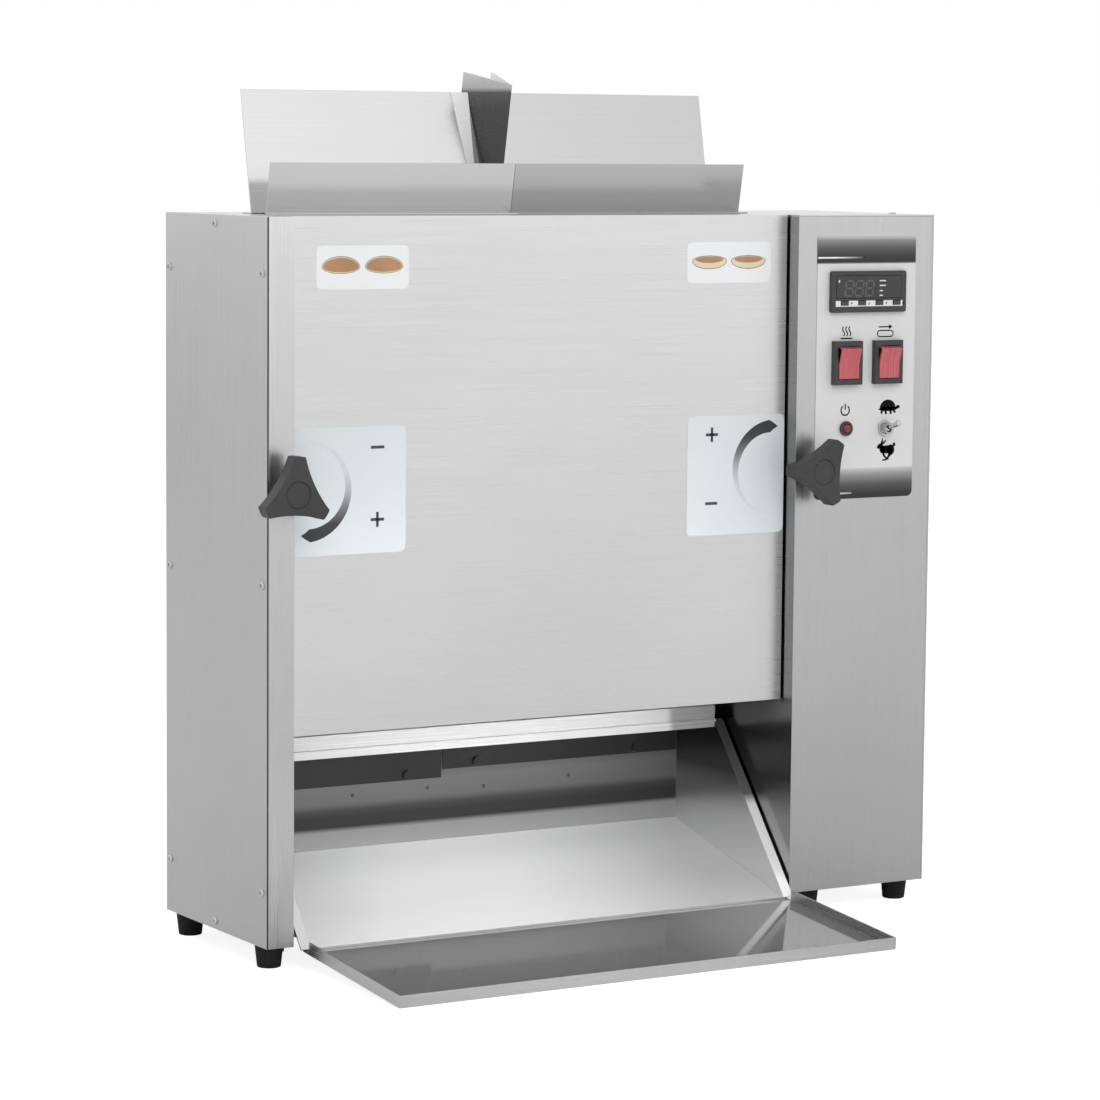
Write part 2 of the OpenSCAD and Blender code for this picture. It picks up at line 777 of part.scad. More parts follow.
// Folded wedge between the lanes, cut to lie against the rear plate and hung over its top edge
module lane_divider() {
    half = divider_w / 2;
    inner = half - 1.5 * plate_t;
    x0 = divider_x - divider_w;
    x1 = divider_x + divider_w;
    hook_z = rear_plate_h + divider_d + set_clear;
    color("gray") place() difference() {
        translate([divider_x, slot_y + divider_set, body_h]) rotate([plate_lean, 0, 0])
            translate([0, 0, -divider_d]) linear_extrude(divider_h / cos(plate_lean) + divider_d)
                polygon([[0, 0], [half, divider_d], [inner, divider_d], [0, 4 * plate_t],
                    [-inner, divider_d], [-half, divider_d]]);
        block([x0, 0, body_h - 2 * divider_d], [x1, body_d, body_h + plate_t + set_clear]);
        translate([x0, slot_back, body_h]) rotate([-plate_lean, 0, 0])
            translate([0, -set_clear, -divider_d]) cube([x1 - x0, 3 * divider_d, hook_z]);
    }
}

// Box given by its middle, width and height as seen from the front, between two depths
module front_box(x, z, w, h, y0, y1) {
    block([x - w / 2, y0, z - h / 2], [x + w / 2, y1, z + h / 2]);
}

// Openings in the front panel
module controller_hole() {
    front_box(overlay_mid, controller_z, controller_body_w + 2 * set_clear,
        controller_body_h + 2 * set_clear, overlay_y - cut, sheet + cut);
}
module switch_hole(x) {
    front_box(x, switch_z, switch_body_w + 2 * set_clear, switch_body_h + 2 * set_clear,
        overlay_y - cut, sheet + cut);
}

module control_overlay() {
    color("gainsboro") place() difference() {
        rounded_panel(overlay_x, overlay_top - overlay_h, overlay_w, overlay_h, overlay_y, 0, overlay_r);
        controller_hole();
        for (x = switch_x) switch_hole(x);
        bar_y(lamp_mid, overlay_y - cut, cut, lamp_z, lamp_body_r + run_clear);
        bar_y(toggle_mid, overlay_y - cut, cut, toggle_z, toggle_bush_r + run_clear);
    }
}

// Centres of the controller's keys
key_x = [for (i = [0:3]) overlay_mid + key_shift + (i - 1.5) * key_pitch];
key_z = controller_z - key_drop;

module temperature_controller() {
    x0 = overlay_mid - controller_w / 2;
    z0 = controller_z - controller_h / 2;
    color("black") place() difference() {
        union() {
            rounded_panel(x0, z0, controller_w, controller_h, controller_face, overlay_y, bezel_r);
            front_box(overlay_mid, controller_z, controller_body_w, controller_body_h,
                overlay_y, controller_depth);
        }
        front_box(overlay_mid, window_z, window_w, window_h,
            controller_face - cut, controller_face + window_t);
        for (x = key_x)
            front_box(x, key_z, key_w + 2 * set_clear, key_h + 2 * set_clear,
                controller_face - cut, controller_face + key_depth);
    }
}

module controller_window() {
    color("darkred") place()
        front_box(overlay_mid, window_z, window_w - 2 * set_clear, window_h - 2 * set_clear,
            controller_face, controller_face + window_t);
}

module key(i) {
    color("dimgray") place()
        front_box(key_x[i], key_z, key_w, key_h, controller_face - key_travel,
            controller_face + key_depth - key_travel - set_clear);
}
module key_1() {
    key(0);
}
module key_2() {
    key(1);
}
module key_3() {
    key(2);
}
module key_4() {
    key(3);
}

// Rocker housing with the round hollow that its rocker turns in
module rocker_housing(x) {
    room = rocker_w / 2 + set_clear;
    difference() {
        union() {
            front_box(x, switch_z, switch_w, switch_h, switch_face, overlay_y);
            front_box(x, switch_z, switch_body_w, switch_body_h, overlay_y, switch_depth);
        }
        bar_x(x - room, x + room, rocker_y, switch_z, rocker_r + 1.5 * set_clear);
        bar_x(x - room - rocker_pin_l, x + room + rocker_pin_l, rocker_y, switch_z, rocker_pin_r + run_clear);
    }
}

// Toggle's body behind the panel, with the bush and nut that hold it there
toggle_body_w = 15;
toggle_body_h = 26;
toggle_depth = 22;

module toggle_housing() {
    difference() {
        union() {
            bar_y(toggle_mid, toggle_face, sheet, toggle_z, toggle_bush_r);
            translate([toggle_mid, overlay_y - toggle_nut_t, toggle_z]) rotate([0, 30, 0])
                hex_y(0, 0, 0, toggle_nut_t, toggle_nut_r);
            front_box(toggle_mid, toggle_z, toggle_body_w, toggle_body_h, sheet, toggle_depth);
        }
        bar_y(toggle_mid, toggle_face - cut, toggle_pivot_y + toggle_bore_r, toggle_z, toggle_bore_r);
    }
}

module switch_housings() {
    color("black") place() {
        for (x = switch_x) rocker_housing(x);
        toggle_housing();
    }
}

// Rocker in its off position: the lower half lies upright and the upper half stands out
module rocker(x) {
    lean = rocker_throw / 2;
    half = rocker_w / 2;
    end_y = -rocker_valley - rocker_r * tan(lean);
    translate([0, rocker_y, switch_z]) rotate([lean, 0, 0]) {
        intersection() {
            bar_x(x - half, x + half, 0, 0, rocker_r);
            x_prism(x - half, x + half)
                polygon([[-rocker_valley, 0], [end_y, rocker_r], [rocker_valley, rocker_r],
                    [rocker_valley, -rocker_r], [end_y, -rocker_r]]);
        }
        bar_x(x - half - rocker_pin_l, x + half + rocker_pin_l, 0, 0, rocker_pin_r);
    }
}
module heat_rocker() {
    color("red") place() rocker(switch_x[0]);
}
module conveyor_rocker() {
    color("red") place() rocker(switch_x[1]);
}

// Toggle's lever in its upper position, on a ball that turns in the bush
toggle_root_r = 1.5;
toggle_tip_r = 2.6;
toggle_tip_l = 1;

module speed_toggle() {
    color("silver") place() translate([toggle_mid, toggle_pivot_y, toggle_z])
        rotate([90 - toggle_throw / 2, 0, 0]) {
            sphere(r = toggle_bore_r - set_clear);
            cylinder(h = toggle_l - toggle_tip_l, r1 = toggle_root_r, r2 = toggle_tip_r);
            translate([0, 0, toggle_l - toggle_tip_l])
                cylinder(h = toggle_tip_l, r1 = toggle_tip_r, r2 = toggle_tip_r - toggle_tip_l);
        }
}

lamp_depth = 20;

module lamp_bezel() {
    color("black") place() difference() {
        union() {
            bar_y(lamp_mid, overlay_y - lamp_proud, overlay_y, lamp_z, lamp_d / 2);
            bar_y(lamp_mid, overlay_y, lamp_depth, lamp_z, lamp_body_r);
        }
        bar_y(lamp_mid, overlay_y - lamp_proud - cut, overlay_y + lens_seat, lamp_z, lamp_lens_r + run_clear);
    }
}

module lamp_lens() {
    rim_y = overlay_y - lamp_proud;
    color("red") place() {
        bar_y(lamp_mid, rim_y, overlay_y + lens_seat, lamp_z, lamp_lens_r);
        translate([lamp_mid, rim_y, lamp_z]) rotate([90, 0, 0])
            cylinder(h = lamp_lens_r / 3, r1 = lamp_lens_r, r2 = lamp_lens_r / 2);
    }
}

// Involute gear outline centred on a tooth at angle zero
pressure_angle = 20;
flank_steps = 4;
function involute(a) = tan(a) * 180 / PI - a;
function polar(r, a) = [r * cos(a), r * sin(a)];
function tooth_angle(r, base, half) =
    half + involute(pressure_angle) - involute(acos(min(1, base / r)));
module gear_outline(teeth) {
    pitch_r = gear_module * teeth / 2;
    base_r = pitch_r * cos(pressure_angle);
    tip_r = pitch_r + gear_module;
    root_r = pitch_r - 1.25 * gear_module;
    start_r = max(base_r, root_r);
    half = 90 / teeth - backlash / 4 / pitch_r * 180 / PI;
    radii = [for (k = [0:flank_steps]) start_r + (tip_r - start_r) * k / flank_steps];
    polygon([for (i = [0:teeth - 1]) each concat(
        [polar(root_r, i * 360 / teeth - tooth_angle(start_r, base_r, half))],
        [for (r = radii) polar(r, i * 360 / teeth - tooth_angle(r, base_r, half))],
        [for (k = [flank_steps:-1:0])
            polar(radii[k], i * 360 / teeth + tooth_angle(radii[k], base_r, half))],
        [polar(root_r, i * 360 / teeth + tooth_angle(start_r, base_r, half))])]);
}

module drive_gear() {
    color("goldenrod") place() difference() {
        translate([0, shaft_y, shaft_z]) x_prism(gear_x0, gear_x0 + gear_w)
            rotate(-pinion_angle) gear_outline(gear_teeth);
        bar_x(gear_x0 - cut, gear_x0 + gear_w + cut, shaft_y, shaft_z, shaft_d / 2 + run_clear);
    }
}

// Pinion in one piece with the gearbox's output shaft
shaft_engage = 14;

module motor_pinion() {
    color("goldenrod") place() {
        translate([0, pinion_y, pinion_z]) x_prism(gear_x0, gear_x0 + gear_w)
            rotate(180 - pinion_angle + 180 / pinion_teeth) gear_outline(pinion_teeth);
        bar_x(gear_x0, gearbox_x + shaft_engage, pinion_y, pinion_z, motor_shaft_d / 2);
    }
}

// Three posts on the bay wall carry the motor plate
post_r = 4;
post_inset = 6;
post_out = 5;
plate_half = gearbox_w / 2 + post_out;

module motor_bracket() {
    reach = plate_half - post_inset;
    color("silver") place() difference() {
        union() {
            block([bracket_x, pinion_y - plate_half, pinion_z - plate_half],
                [bracket_x + bracket_t, pinion_y + plate_half, pinion_z + plate_half]);
            for (p = [[1, 1], [1, -1], [-1, -1]])
                bar_x(column_x + sheet, bracket_x, pinion_y + p[0] * reach, pinion_z + p[1] * reach, post_r);
        }
        bar_x(bracket_x - cut, gearbox_x + cut, pinion_y, pinion_z, motor_shaft_d);
    }
}

module gear_motor() {
    half = gearbox_w / 2;
    color("darkgray") place() difference() {
        union() {
            block([gearbox_x, pinion_y - half, pinion_z - half],
                [gearbox_x + gearbox_l, pinion_y + half, pinion_z + half]);
            bar_x(gearbox_x + gearbox_l, gearbox_x + gearbox_l + motor_l, pinion_y, pinion_z, motor_d / 2);
        }
        bar_x(gearbox_x - cut, gearbox_x + shaft_engage + cut, pinion_y, pinion_z,
            motor_shaft_d / 2 + run_clear);
    }
}

module drive_shaft() {
    color("gainsboro") place() bar_x(shaft_x0, shaft_x1, shaft_y, shaft_z, shaft_d / 2);
}

module roller(s, z, bore_r) {
    difference() {
        bar_x(s[0] + roller_inset, s[1] - roller_inset, shaft_y, z, roller_d / 2);
        bar_x(s[0], s[1], shaft_y, z, bore_r);
    }
}
module drive_rollers() {
    color("dimgray") place() for (s = spans) roller(s, shaft_z, shaft_d / 2 + run_clear);
}
module left_idler_roller() {
    color("dimgray") place() roller(left_span, idler_z, axle_d / 2 + run_clear);
}
module right_idler_roller() {
    color("dimgray") place() roller(right_span, idler_z, axle_d / 2 + run_clear);
}

// Flanged bush in each bay wall
bearing_flange = 3;

module shaft_bearings() {
    color("goldenrod") place() {
        difference() {
            union() {
                bar_x(shaft_x0, left_w, shaft_y, shaft_z, bearing_r);
                bar_x(left_w, left_w + bearing_flange, shaft_y, shaft_z, bearing_r + bearing_flange);
            }
            bar_x(shaft_x0 - cut, left_w + 2 * bearing_flange, shaft_y, shaft_z, shaft_d / 2 + run_clear);
        }
        difference() {
            union() {
                bar_x(column_x, gear_x0 - cut, shaft_y, shaft_z, bearing_r);
                bar_x(column_x - bearing_flange, column_x, shaft_y, shaft_z, bearing_r + bearing_flange);
            }
            bar_x(column_x - 2 * bearing_flange, gear_x0, shaft_y, shaft_z, shaft_d / 2 + run_clear);
        }
    }
}

// Side plates, backing plate, tie bar, idler axle and the arm that rides on the adjusting screw
arm_clear = 0.6;
backing_gap = 8;

module conveyor_frame(s, arm_x0, arm_x1, screw_x) {
    margin = roller_d / 2 + backing_gap;
    difference() {
        union() {
            for (x = [s[0], s[1] - cheek_t]) {
                block([x, shaft_y - cheek_half, idler_z], [x + cheek_t, shaft_y + cheek_half, shaft_z]);
                for (z = [idler_z, shaft_z]) bar_x(x, x + cheek_t, shaft_y, z, cheek_half);
            }
            block([s[0], shaft_y + cheek_half - cheek_t, idler_z + margin],
                [s[1], shaft_y + cheek_half, shaft_z - margin]);
            bar_x(s[0], s[1], shaft_y - cheek_half / 2, (idler_z + shaft_z) / 2, axle_d / 2);
            bar_x(s[0], s[1], shaft_y, idler_z, axle_d / 2);
            block([arm_x0, shaft_y - arm_w / 2, knob_z - arm_w / 2],
                [arm_x1, shaft_y + arm_w / 2, knob_z + arm_w / 2]);
        }
        for (x = [s[0], s[1] - cheek_t])
            bar_x(x - cut, x + cheek_t + cut, shaft_y, shaft_z, shaft_d / 2 + run_clear);
        bar_y(screw_x, shaft_y - arm_w, shaft_y + arm_w, knob_z, adjust_d / 2 + arm_clear);
    }
}
module left_conveyor_frame() {
    color("silver") place()
        conveyor_frame(left_span, left_knob_x - arm_w / 2, left_span[0] + cheek_t, left_knob_x);
}
module right_conveyor_frame() {
    color("silver") place()
        conveyor_frame(right_span, right_span[1] - cheek_t, right_knob_x + arm_w / 2, right_knob_x);
}

module belt_outline(r) {
    for (z = [idler_z, shaft_z]) translate([shaft_y, z]) circle(r = r);
    translate([shaft_y - r, idler_z]) square([2 * r, shaft_z - idler_z]);
}
module belt(s) {
    x_prism(s[0] + belt_inset, s[1] - belt_inset) difference() {
        belt_outline(belt_out_r);
        belt_outline(belt_in_r);
    }
}
module left_belt() {
    color("black") place() belt(left_span);
}
module right_belt() {
    color("black") place() belt(right_span);
}

// Three-lobed hand knob with a dished face and a blind bore for its screw
knob_bore_depth = 8;
knob_dish_d = 21;
knob_dish = 1;

module knob(x, turn) {
    hub_l = knob_stand - bush_flange - hub_gap;
    translate([x, -knob_stand - knob_t, knob_z]) rotate([-90, turn, 0]) difference() {
        union() {
            difference() {
                cylinder(h = knob_t, r = knob_r);
                for (a = [60, 180, 300]) rotate(a)
                    translate([flank_x, 0, -cut]) cylinder(h = knob_t + 2 * cut, r = knob_flank_r);
            }
            translate([0, 0, knob_t]) cylinder(h = hub_l, d = hub_d);
        }
        translate([0, 0, -cut]) cylinder(h = knob_dish + cut, d = knob_dish_d);
        translate([0, 0, knob_t - knob_bore_depth])
            cylinder(h = hub_l + knob_t, r = adjust_d / 2 + run_clear);
    }
}
module left_knob() {
    color("black") place() knob(left_knob_x, knob_turn - 90);
}
module right_knob() {
    color("black") place() knob(right_knob_x, knob_turn + 180);
}

module adjust_screw(x) {
    y1 = shaft_y + arm_w / 2 + arm_reach + adjust_over;
    bar_y(x, -knob_stand - knob_bore_depth + set_clear, y1, knob_z, adjust_d / 2);
}
module left_adjust_screw() {
    color("gainsboro") place() adjust_screw(left_knob_x);
}
module right_adjust_screw() {
    color("gainsboro") place() adjust_screw(right_knob_x);
}

nut_h = 4;
nut_wall = 2.3;
nut_r = bush_r + nut_wall;

module knob_bushes() {
    color("whitesmoke") place() for (x = [left_knob_x, right_knob_x]) difference() {
        union() {
            bar_y(x, -bush_flange, 0, knob_z, bush_d / 2);
            bar_y(x, 0, bush_back, knob_z, bush_r);
            hex_y(x, sheet, knob_z, nut_h, nut_r);
        }
        bar_y(x, -2 * bush_flange, bush_back + cut, knob_z, adjust_d / 2 + run_clear);
    }
}

module front_door() {
    y1 = door_recess + door_return;
    color("whitesmoke") place() {
        block([door_x0, door_recess, door_bottom], [door_x1, door_recess + sheet, body_h]);
        block([door_x0, door_recess, door_bottom], [door_x1, y1, door_bottom + sheet]);
        for (x = [door_x0, door_x1 - sheet])
            block([x, door_recess, door_bottom], [x + sheet, y1, body_h]);
        block([door_x0, door_recess, body_h - sheet], [door_x1, hook_y + sheet, body_h]);
        block([door_x0, hook_y, body_h - sheet - door_lip], [door_x1, hook_y + sheet, body_h]);
    }
}

// Folded scoop: sloping floor, back wall, roof, brow with its hem, side walls with hem flanges
hem_t = 2;
hem_h = 7;

module chute_side() {
    half = sheet / 2;
    polygon([[-chute_front, front_z], [-chute_front, front_z - half],
        [chute_back + half, floor_z(chute_back + half) - half], [chute_back + half, back_wall_top + half],
        [brow_y + half, brow_z + half], [brow_y, brow_z]]);
}
module hem_flange() {
    run = brow_y + chute_front;
    rise = brow_z - front_z;
    step = sheet / sqrt(run * run + rise * rise);
    polygon([[-chute_front, front_z], [brow_y, brow_z],
        [brow_y + rise * step, brow_z - run * step], [-chute_front + rise * step, front_z - run * step]]);
}
module landing_chute() {
    outer = chute_back + sheet;
    color("white") place() {
        x_prism(chute_x0, chute_x1) {
            polygon([[-chute_front, front_z], [outer, floor_z(outer)],
                [outer, floor_z(outer) - sheet], [-chute_front, front_z - sheet]]);
            polygon([[brow_y, brow_z], [outer, back_wall_top],
                [outer, back_wall_top + sheet], [brow_y, brow_z + sheet]]);
            translate([chute_back, slope_top - sheet])
                square([sheet, back_wall_top - slope_top + 2 * sheet]);
            translate([brow_y, brow_z - hem_h]) square([sheet, hem_h + brow_h]);
            translate([brow_y - hem_t, brow_z - hem_h]) square([hem_t, hem_h]);
        }
        for (x = [chute_x0, chute_x1 - sheet]) x_prism(x, x + sheet) chute_side();
        x_prism(chute_x0 - hem_w, chute_x0 + sheet) hem_flange();
        x_prism(chute_x1 - sheet, chute_x1 + hem_w) hem_flange();
    }
}

tray_side = 4;

module tray() {
    x0 = chute_x0 - tray_side;
    x1 = chute_x1 + tray_side;
    color("white") place() translate([0, -chute_front, tray_back_z]) rotate([tray_tilt, 0, 0]) {
        block([x0, -tray_l, 0], [x1, tray_tuck, sheet]);
        block([x0, -tray_l, 0], [x1, sheet - tray_l, tray_lip]);
        for (x = [x0, x1 - sheet]) block([x, -tray_l, 0], [x + sheet, -tray_side, tray_lip]);
    }
}

// Black strips bolted to the chute's back wall, with the left one hanging a little lower, and where
// along each strip its bolts are
liner_low = [95, 102];
liner_split = 13;
liner_gap = 0.5;
liner_side = 1;
liner_top = 2;
liner_bolt_at = [[0.3, 0.84], [0.14, 0.82]];
liner_bolt_d = 8;
liner_bolt_h = 3;

module chute_liner() {
    side = sheet + liner_side;
    split = bay_mid - liner_split;
    ends = [[chute_x0 + side, split - liner_gap], [split + liner_gap, chute_x1 - side]];
    face = chute_back - liner_t;
    color("black") place() for (i = [0, 1]) {
        block([ends[i][0], face, liner_low[i]], [ends[i][1], chute_back, back_wall_top - liner_top]);
        for (k = liner_bolt_at[i])
            bar_y(ends[i][0] * (1 - k) + ends[i][1] * k, face - liner_bolt_h, face,
                liner_low[i] + 0.6 * liner_bolt_d, liner_bolt_d / 2);
    }
}

// Cable entry in the rear wall of the right column
gland_x = column_x + column_w / 2;
gland_wall = 3;
gland_r = gland_bore_d / 2 + gland_wall;
gland_in = 8;
gland_hex_h = 5;
gland_hex_r = gland_r + 5;
gland_cap_r = gland_r + 2.5;
gland_cap_end = 2;
gland_nut_r = gland_r + 4;

module cable_gland() {
    color("black") place() difference() {
        union() {
            bar_y(gland_x, body_d - sheet - gland_in, body_d + gland_l, gland_z, gland_r);
            hex_y(gland_x, body_d, gland_z, gland_hex_h, gland_hex_r);
            bar_y(gland_x, body_d + gland_hex_h, body_d + gland_l - gland_cap_end, gland_z, gland_cap_r);
            hex_y(gland_x, body_d - sheet - gland_hex_h, gland_z, gland_hex_h, gland_nut_r);
        }
        bar_y(gland_x, body_d - sheet - gland_in - cut, body_d + gland_l + cut, gland_z, gland_bore_d / 2);
    }
}

// Supply terminals on the bay wall of the right column
terminal_count = 6;
terminal_pitch = 12;
terminal_size = [22, 28];

module terminal_block() {
    x0 = column_x + sheet;
    y0 = body_d / 2;
    z0 = gland_z + tab_w;
    x1 = x0 + terminal_size[0];
    y1 = y0 + terminal_size[1];
    color("ivory") place() difference() {
        block([x0, y0, z0], [x1, y1, z0 + terminal_count * terminal_pitch]);
        for (i = [0:terminal_count - 1])
            bar_x((x0 + x1) / 2, x1 + cut, (y0 + y1) / 2, z0 + (i + 0.5) * terminal_pitch,
                terminal_pitch / 3);
    }
}

// Limit thermostat on the bay wall, level with the platen, with two blade terminals
thermostat_flange_r = 16;
thermostat_flange_t = 3;
thermostat_r = 12;
thermostat_l = 16;
blade = [8, 2, 6];
blade_pitch = 14;

module limit_thermostat() {
    x0 = column_x + sheet;
    color("ivory") place() {
        bar_x(x0, x0 + thermostat_flange_t, platen_back, knob_z, thermostat_flange_r);
        bar_x(x0, x0 + thermostat_l, platen_back, knob_z, thermostat_r);
        for (side = [-1, 1])
            translate([x0 + thermostat_l, platen_back + (side * blade_pitch - blade[1]) / 2,
                knob_z - blade[2] / 2]) cube(blade);
    }
}

left_frame();
left_side_cover();
right_housing();
right_side_cover();
right_top_cap();
cover_screws();
rear_panel();
front_top_rail();
chute_rails();
top_cover();
feet();
platen();
heating_elements();
insulation_board();
heat_shield();
platen_brackets();
release_sheets();
sheet_clamp_bar();
rear_feed_plate();
lane_divider();
left_front_feed_plate();
right_front_feed_plate();
control_overlay();
temperature_controller();
controller_window();
key_1();
key_2();
key_3();
key_4();
switch_housings();
heat_rocker();
conveyor_rocker();
speed_toggle();
lamp_bezel();
lamp_lens();
gear_motor();
motor_bracket();
motor_pinion();
drive_shaft();
drive_gear();
drive_rollers();
shaft_bearings();
left_conveyor_frame();
right_conveyor_frame();
left_belt();
right_belt();
left_idler_roller();
right_idler_roller();
left_knob();
right_knob();
left_adjust_screw();
right_adjust_screw();
knob_bushes();
front_door();
landing_chute();
tray();
chute_liner();
cable_gland();
terminal_block();
limit_thermostat();
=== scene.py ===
# %% [markdown]
# # Vertical bun toaster
# The solids of the toaster come packed from its source, already at their real size and place.
# This lesson dresses them: it rounds the folded steel, adds the small parts that the solids leave
# plain, gives every surface a finish, and puts the whole in a white studio.
# Lengths are in metres, x runs to the right, y to the back and z up, with the counter at z = 0.

# %% Load the solids
import json
import math

import bpy
from mathutils import Matrix, Vector

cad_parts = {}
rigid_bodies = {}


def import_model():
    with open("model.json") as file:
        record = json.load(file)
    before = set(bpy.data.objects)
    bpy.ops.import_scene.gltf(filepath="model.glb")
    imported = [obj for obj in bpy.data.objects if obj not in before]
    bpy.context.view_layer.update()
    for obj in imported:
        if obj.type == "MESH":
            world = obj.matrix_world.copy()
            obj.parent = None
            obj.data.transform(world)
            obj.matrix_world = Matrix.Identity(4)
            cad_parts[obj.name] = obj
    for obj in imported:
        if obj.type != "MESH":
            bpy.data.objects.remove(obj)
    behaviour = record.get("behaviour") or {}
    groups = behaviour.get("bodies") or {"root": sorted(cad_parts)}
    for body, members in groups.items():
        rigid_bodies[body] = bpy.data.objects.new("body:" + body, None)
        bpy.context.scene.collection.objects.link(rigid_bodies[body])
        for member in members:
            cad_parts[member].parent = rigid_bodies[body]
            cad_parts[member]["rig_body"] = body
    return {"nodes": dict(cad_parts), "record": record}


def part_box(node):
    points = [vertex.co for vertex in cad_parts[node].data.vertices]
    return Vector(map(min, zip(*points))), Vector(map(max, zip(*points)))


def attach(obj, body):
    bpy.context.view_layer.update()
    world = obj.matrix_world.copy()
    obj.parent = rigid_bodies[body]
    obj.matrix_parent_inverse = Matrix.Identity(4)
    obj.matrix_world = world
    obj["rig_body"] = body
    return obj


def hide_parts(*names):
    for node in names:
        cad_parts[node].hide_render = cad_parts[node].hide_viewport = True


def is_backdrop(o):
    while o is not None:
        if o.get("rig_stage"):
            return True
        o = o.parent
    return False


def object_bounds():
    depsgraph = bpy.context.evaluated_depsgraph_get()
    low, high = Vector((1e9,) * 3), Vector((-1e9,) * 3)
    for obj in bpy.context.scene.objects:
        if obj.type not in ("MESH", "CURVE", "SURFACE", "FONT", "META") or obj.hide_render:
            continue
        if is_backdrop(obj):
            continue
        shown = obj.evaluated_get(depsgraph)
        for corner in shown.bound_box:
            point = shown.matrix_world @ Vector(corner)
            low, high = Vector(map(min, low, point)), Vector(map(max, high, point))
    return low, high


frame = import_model()
solids = frame["nodes"]
cad_low, cad_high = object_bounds()
print("solids:", len(solids), "box:", [round(v, 3) for v in cad_high - cad_low])

# %% [markdown]
# The camera stands to the left of the toaster and a little above its middle, far away behind a
# long lens, so the upright edges stay almost parallel. Its place is measured from the lower left
# corner of the cabinet, and place and angles were fitted to the cabinet's corners. A camera looks
# along its own -Z with +Y up, so the three axes are built from the heading, the dip and the small
# roll.

# %% Camera
camera_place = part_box("left_side_cover")[0] + Vector((-1.35225, -2.72023, 0.63791))
heading, dip, roll = math.radians(30.59), math.radians(6.02), math.radians(0.49)
focal_pixels, image_pixels, sensor_mm = 3914.76, 1100, 36

ahead = Vector((math.sin(heading), math.cos(heading), 0))
forward = ahead * math.cos(dip) - Vector((0, 0, math.sin(dip)))
level = Vector((math.cos(heading), -math.sin(heading), 0))
upright = level.cross(forward)
right = level * math.cos(roll) + upright * math.sin(roll)
up = upright * math.cos(roll) - level * math.sin(roll)

camera_data = bpy.data.cameras.new("studio_camera")
camera_data.sensor_fit = "HORIZONTAL"
camera_data.sensor_width = sensor_mm
camera_data.lens = focal_pixels * sensor_mm / image_pixels
camera = bpy.data.objects.new("studio_camera", camera_data)
turned = Matrix((right, up, -forward)).transposed().to_4x4()
camera.matrix_world = Matrix.Translation(camera_place) @ turned
bpy.context.scene.collection.objects.link(camera)
bpy.context.scene.camera = camera
print("lens:", round(camera_data.lens, 1), "mm")

# %% [markdown]
# Most of the work below is the same few steps: select one object, go into edit mode, pick faces or
# edges by where they are, run an operator, and come back. These small helpers keep that readable.

# %% Helpers for modelling by hand
facing = 0.9  # least share of a normal along the axis that its face looks along


def set_mode(mode):
    """Switches the active object to object or edit mode."""
    bpy.ops.object.mode_set(mode=mode)


def pick(piece):
    """Makes one object the only selected and active one."""
    bpy.ops.object.select_all(action="DESELECT")
    piece.select_set(True)
    bpy.context.view_layer.objects.active = piece


def edit_all(piece, choice="SELECT"):
    """Opens one object in edit mode, with all or nothing of it selected."""
    pick(piece)
    set_mode("EDIT")
    bpy.ops.mesh.select_all(action=choice)


def clear_choice(piece, kind):
    """Sets what edit mode selects, faces or edges, and leaves nothing selected."""
    edit_all(piece, "DESELECT")
    bpy.ops.mesh.select_mode(type=kind)
    set_mode("OBJECT")


def pick_faces(piece, wanted):
    """Selects, in edit mode, the faces whose centre and normal the test accepts."""
    clear_choice(piece, "FACE")
    for face in piece.data.polygons:
        face.select = wanted(face.center, face.normal)
    set_mode("EDIT")


def pick_edges(piece, wanted):
    """Selects, in edit mode, the edges whose two ends the test accepts."""
    clear_choice(piece, "EDGE")
    points = piece.data.vertices
    for edge in piece.data.edges:
        edge.select = wanted(points[edge.vertices[0]].co, points[edge.vertices[1]].co)
    set_mode("EDIT")


def leave_edit(piece, smooth=30):
    """Back to object mode, with smooth shading except over sharp folds."""
    set_mode("OBJECT")
    pick(piece)
    bpy.ops.object.shade_smooth_by_angle(angle=math.radians(smooth))


def added(name):
    """The object that an operator has just added, under its own name."""
    bpy.context.object.name = name
    return bpy.context.object


def apply_place(piece):
    """Moves the object's place, turn and scale into its mesh."""
    pick(piece)
    bpy.ops.object.transform_apply(location=True, rotation=True, scale=True)


def new_box(name, low, high):
    """A cube primitive stretched between two corners, with its place in its mesh."""
    low, high = Vector(low), Vector(high)
    bpy.ops.mesh.primitive_cube_add(size=1, location=(low + high) / 2)
    piece = added(name)
    piece.scale = high - low
    apply_place(piece)
    return piece


def new_rod(name, start, end, radius, sides=48):
    """A cylinder primitive between two points on a line along x, y or z."""
    start, end = Vector(start), Vector(end)
    bpy.ops.mesh.primitive_cylinder_add(vertices=sides, radius=radius, depth=(end - start).length)
    piece = added(name)
    turned = (end - start).to_track_quat("Z", "Y").to_matrix().to_4x4()
    piece.matrix_world = Matrix.Translation((start + end) / 2) @ turned
    apply_place(piece)
    return piece


def adjust(thing, settings):
    """Makes the named settings of a modifier or node."""
    for name, setting in settings.items():
        setattr(thing, name, setting)


def modify(piece, kind, **settings):
    """Adds a modifier with its settings and applies it."""
    pick(piece)
    modifier = piece.modifiers.new(kind, kind)
    adjust(modifier, settings)
    bpy.ops.object.modifier_apply(modifier=modifier.name)


def round_edges(piece, width, segments=2, angle=30):
    """Bevels the edges that fold by more than the angle, and keeps the flat faces flatly shaded."""
    modify(piece, "BEVEL", width=width, segments=segments, limit_method="ANGLE",
           angle_limit=math.radians(angle), use_clamp_overlap=False)
    leave_edit(piece)
    modify(piece, "WEIGHTED_NORMAL", keep_sharp=True)


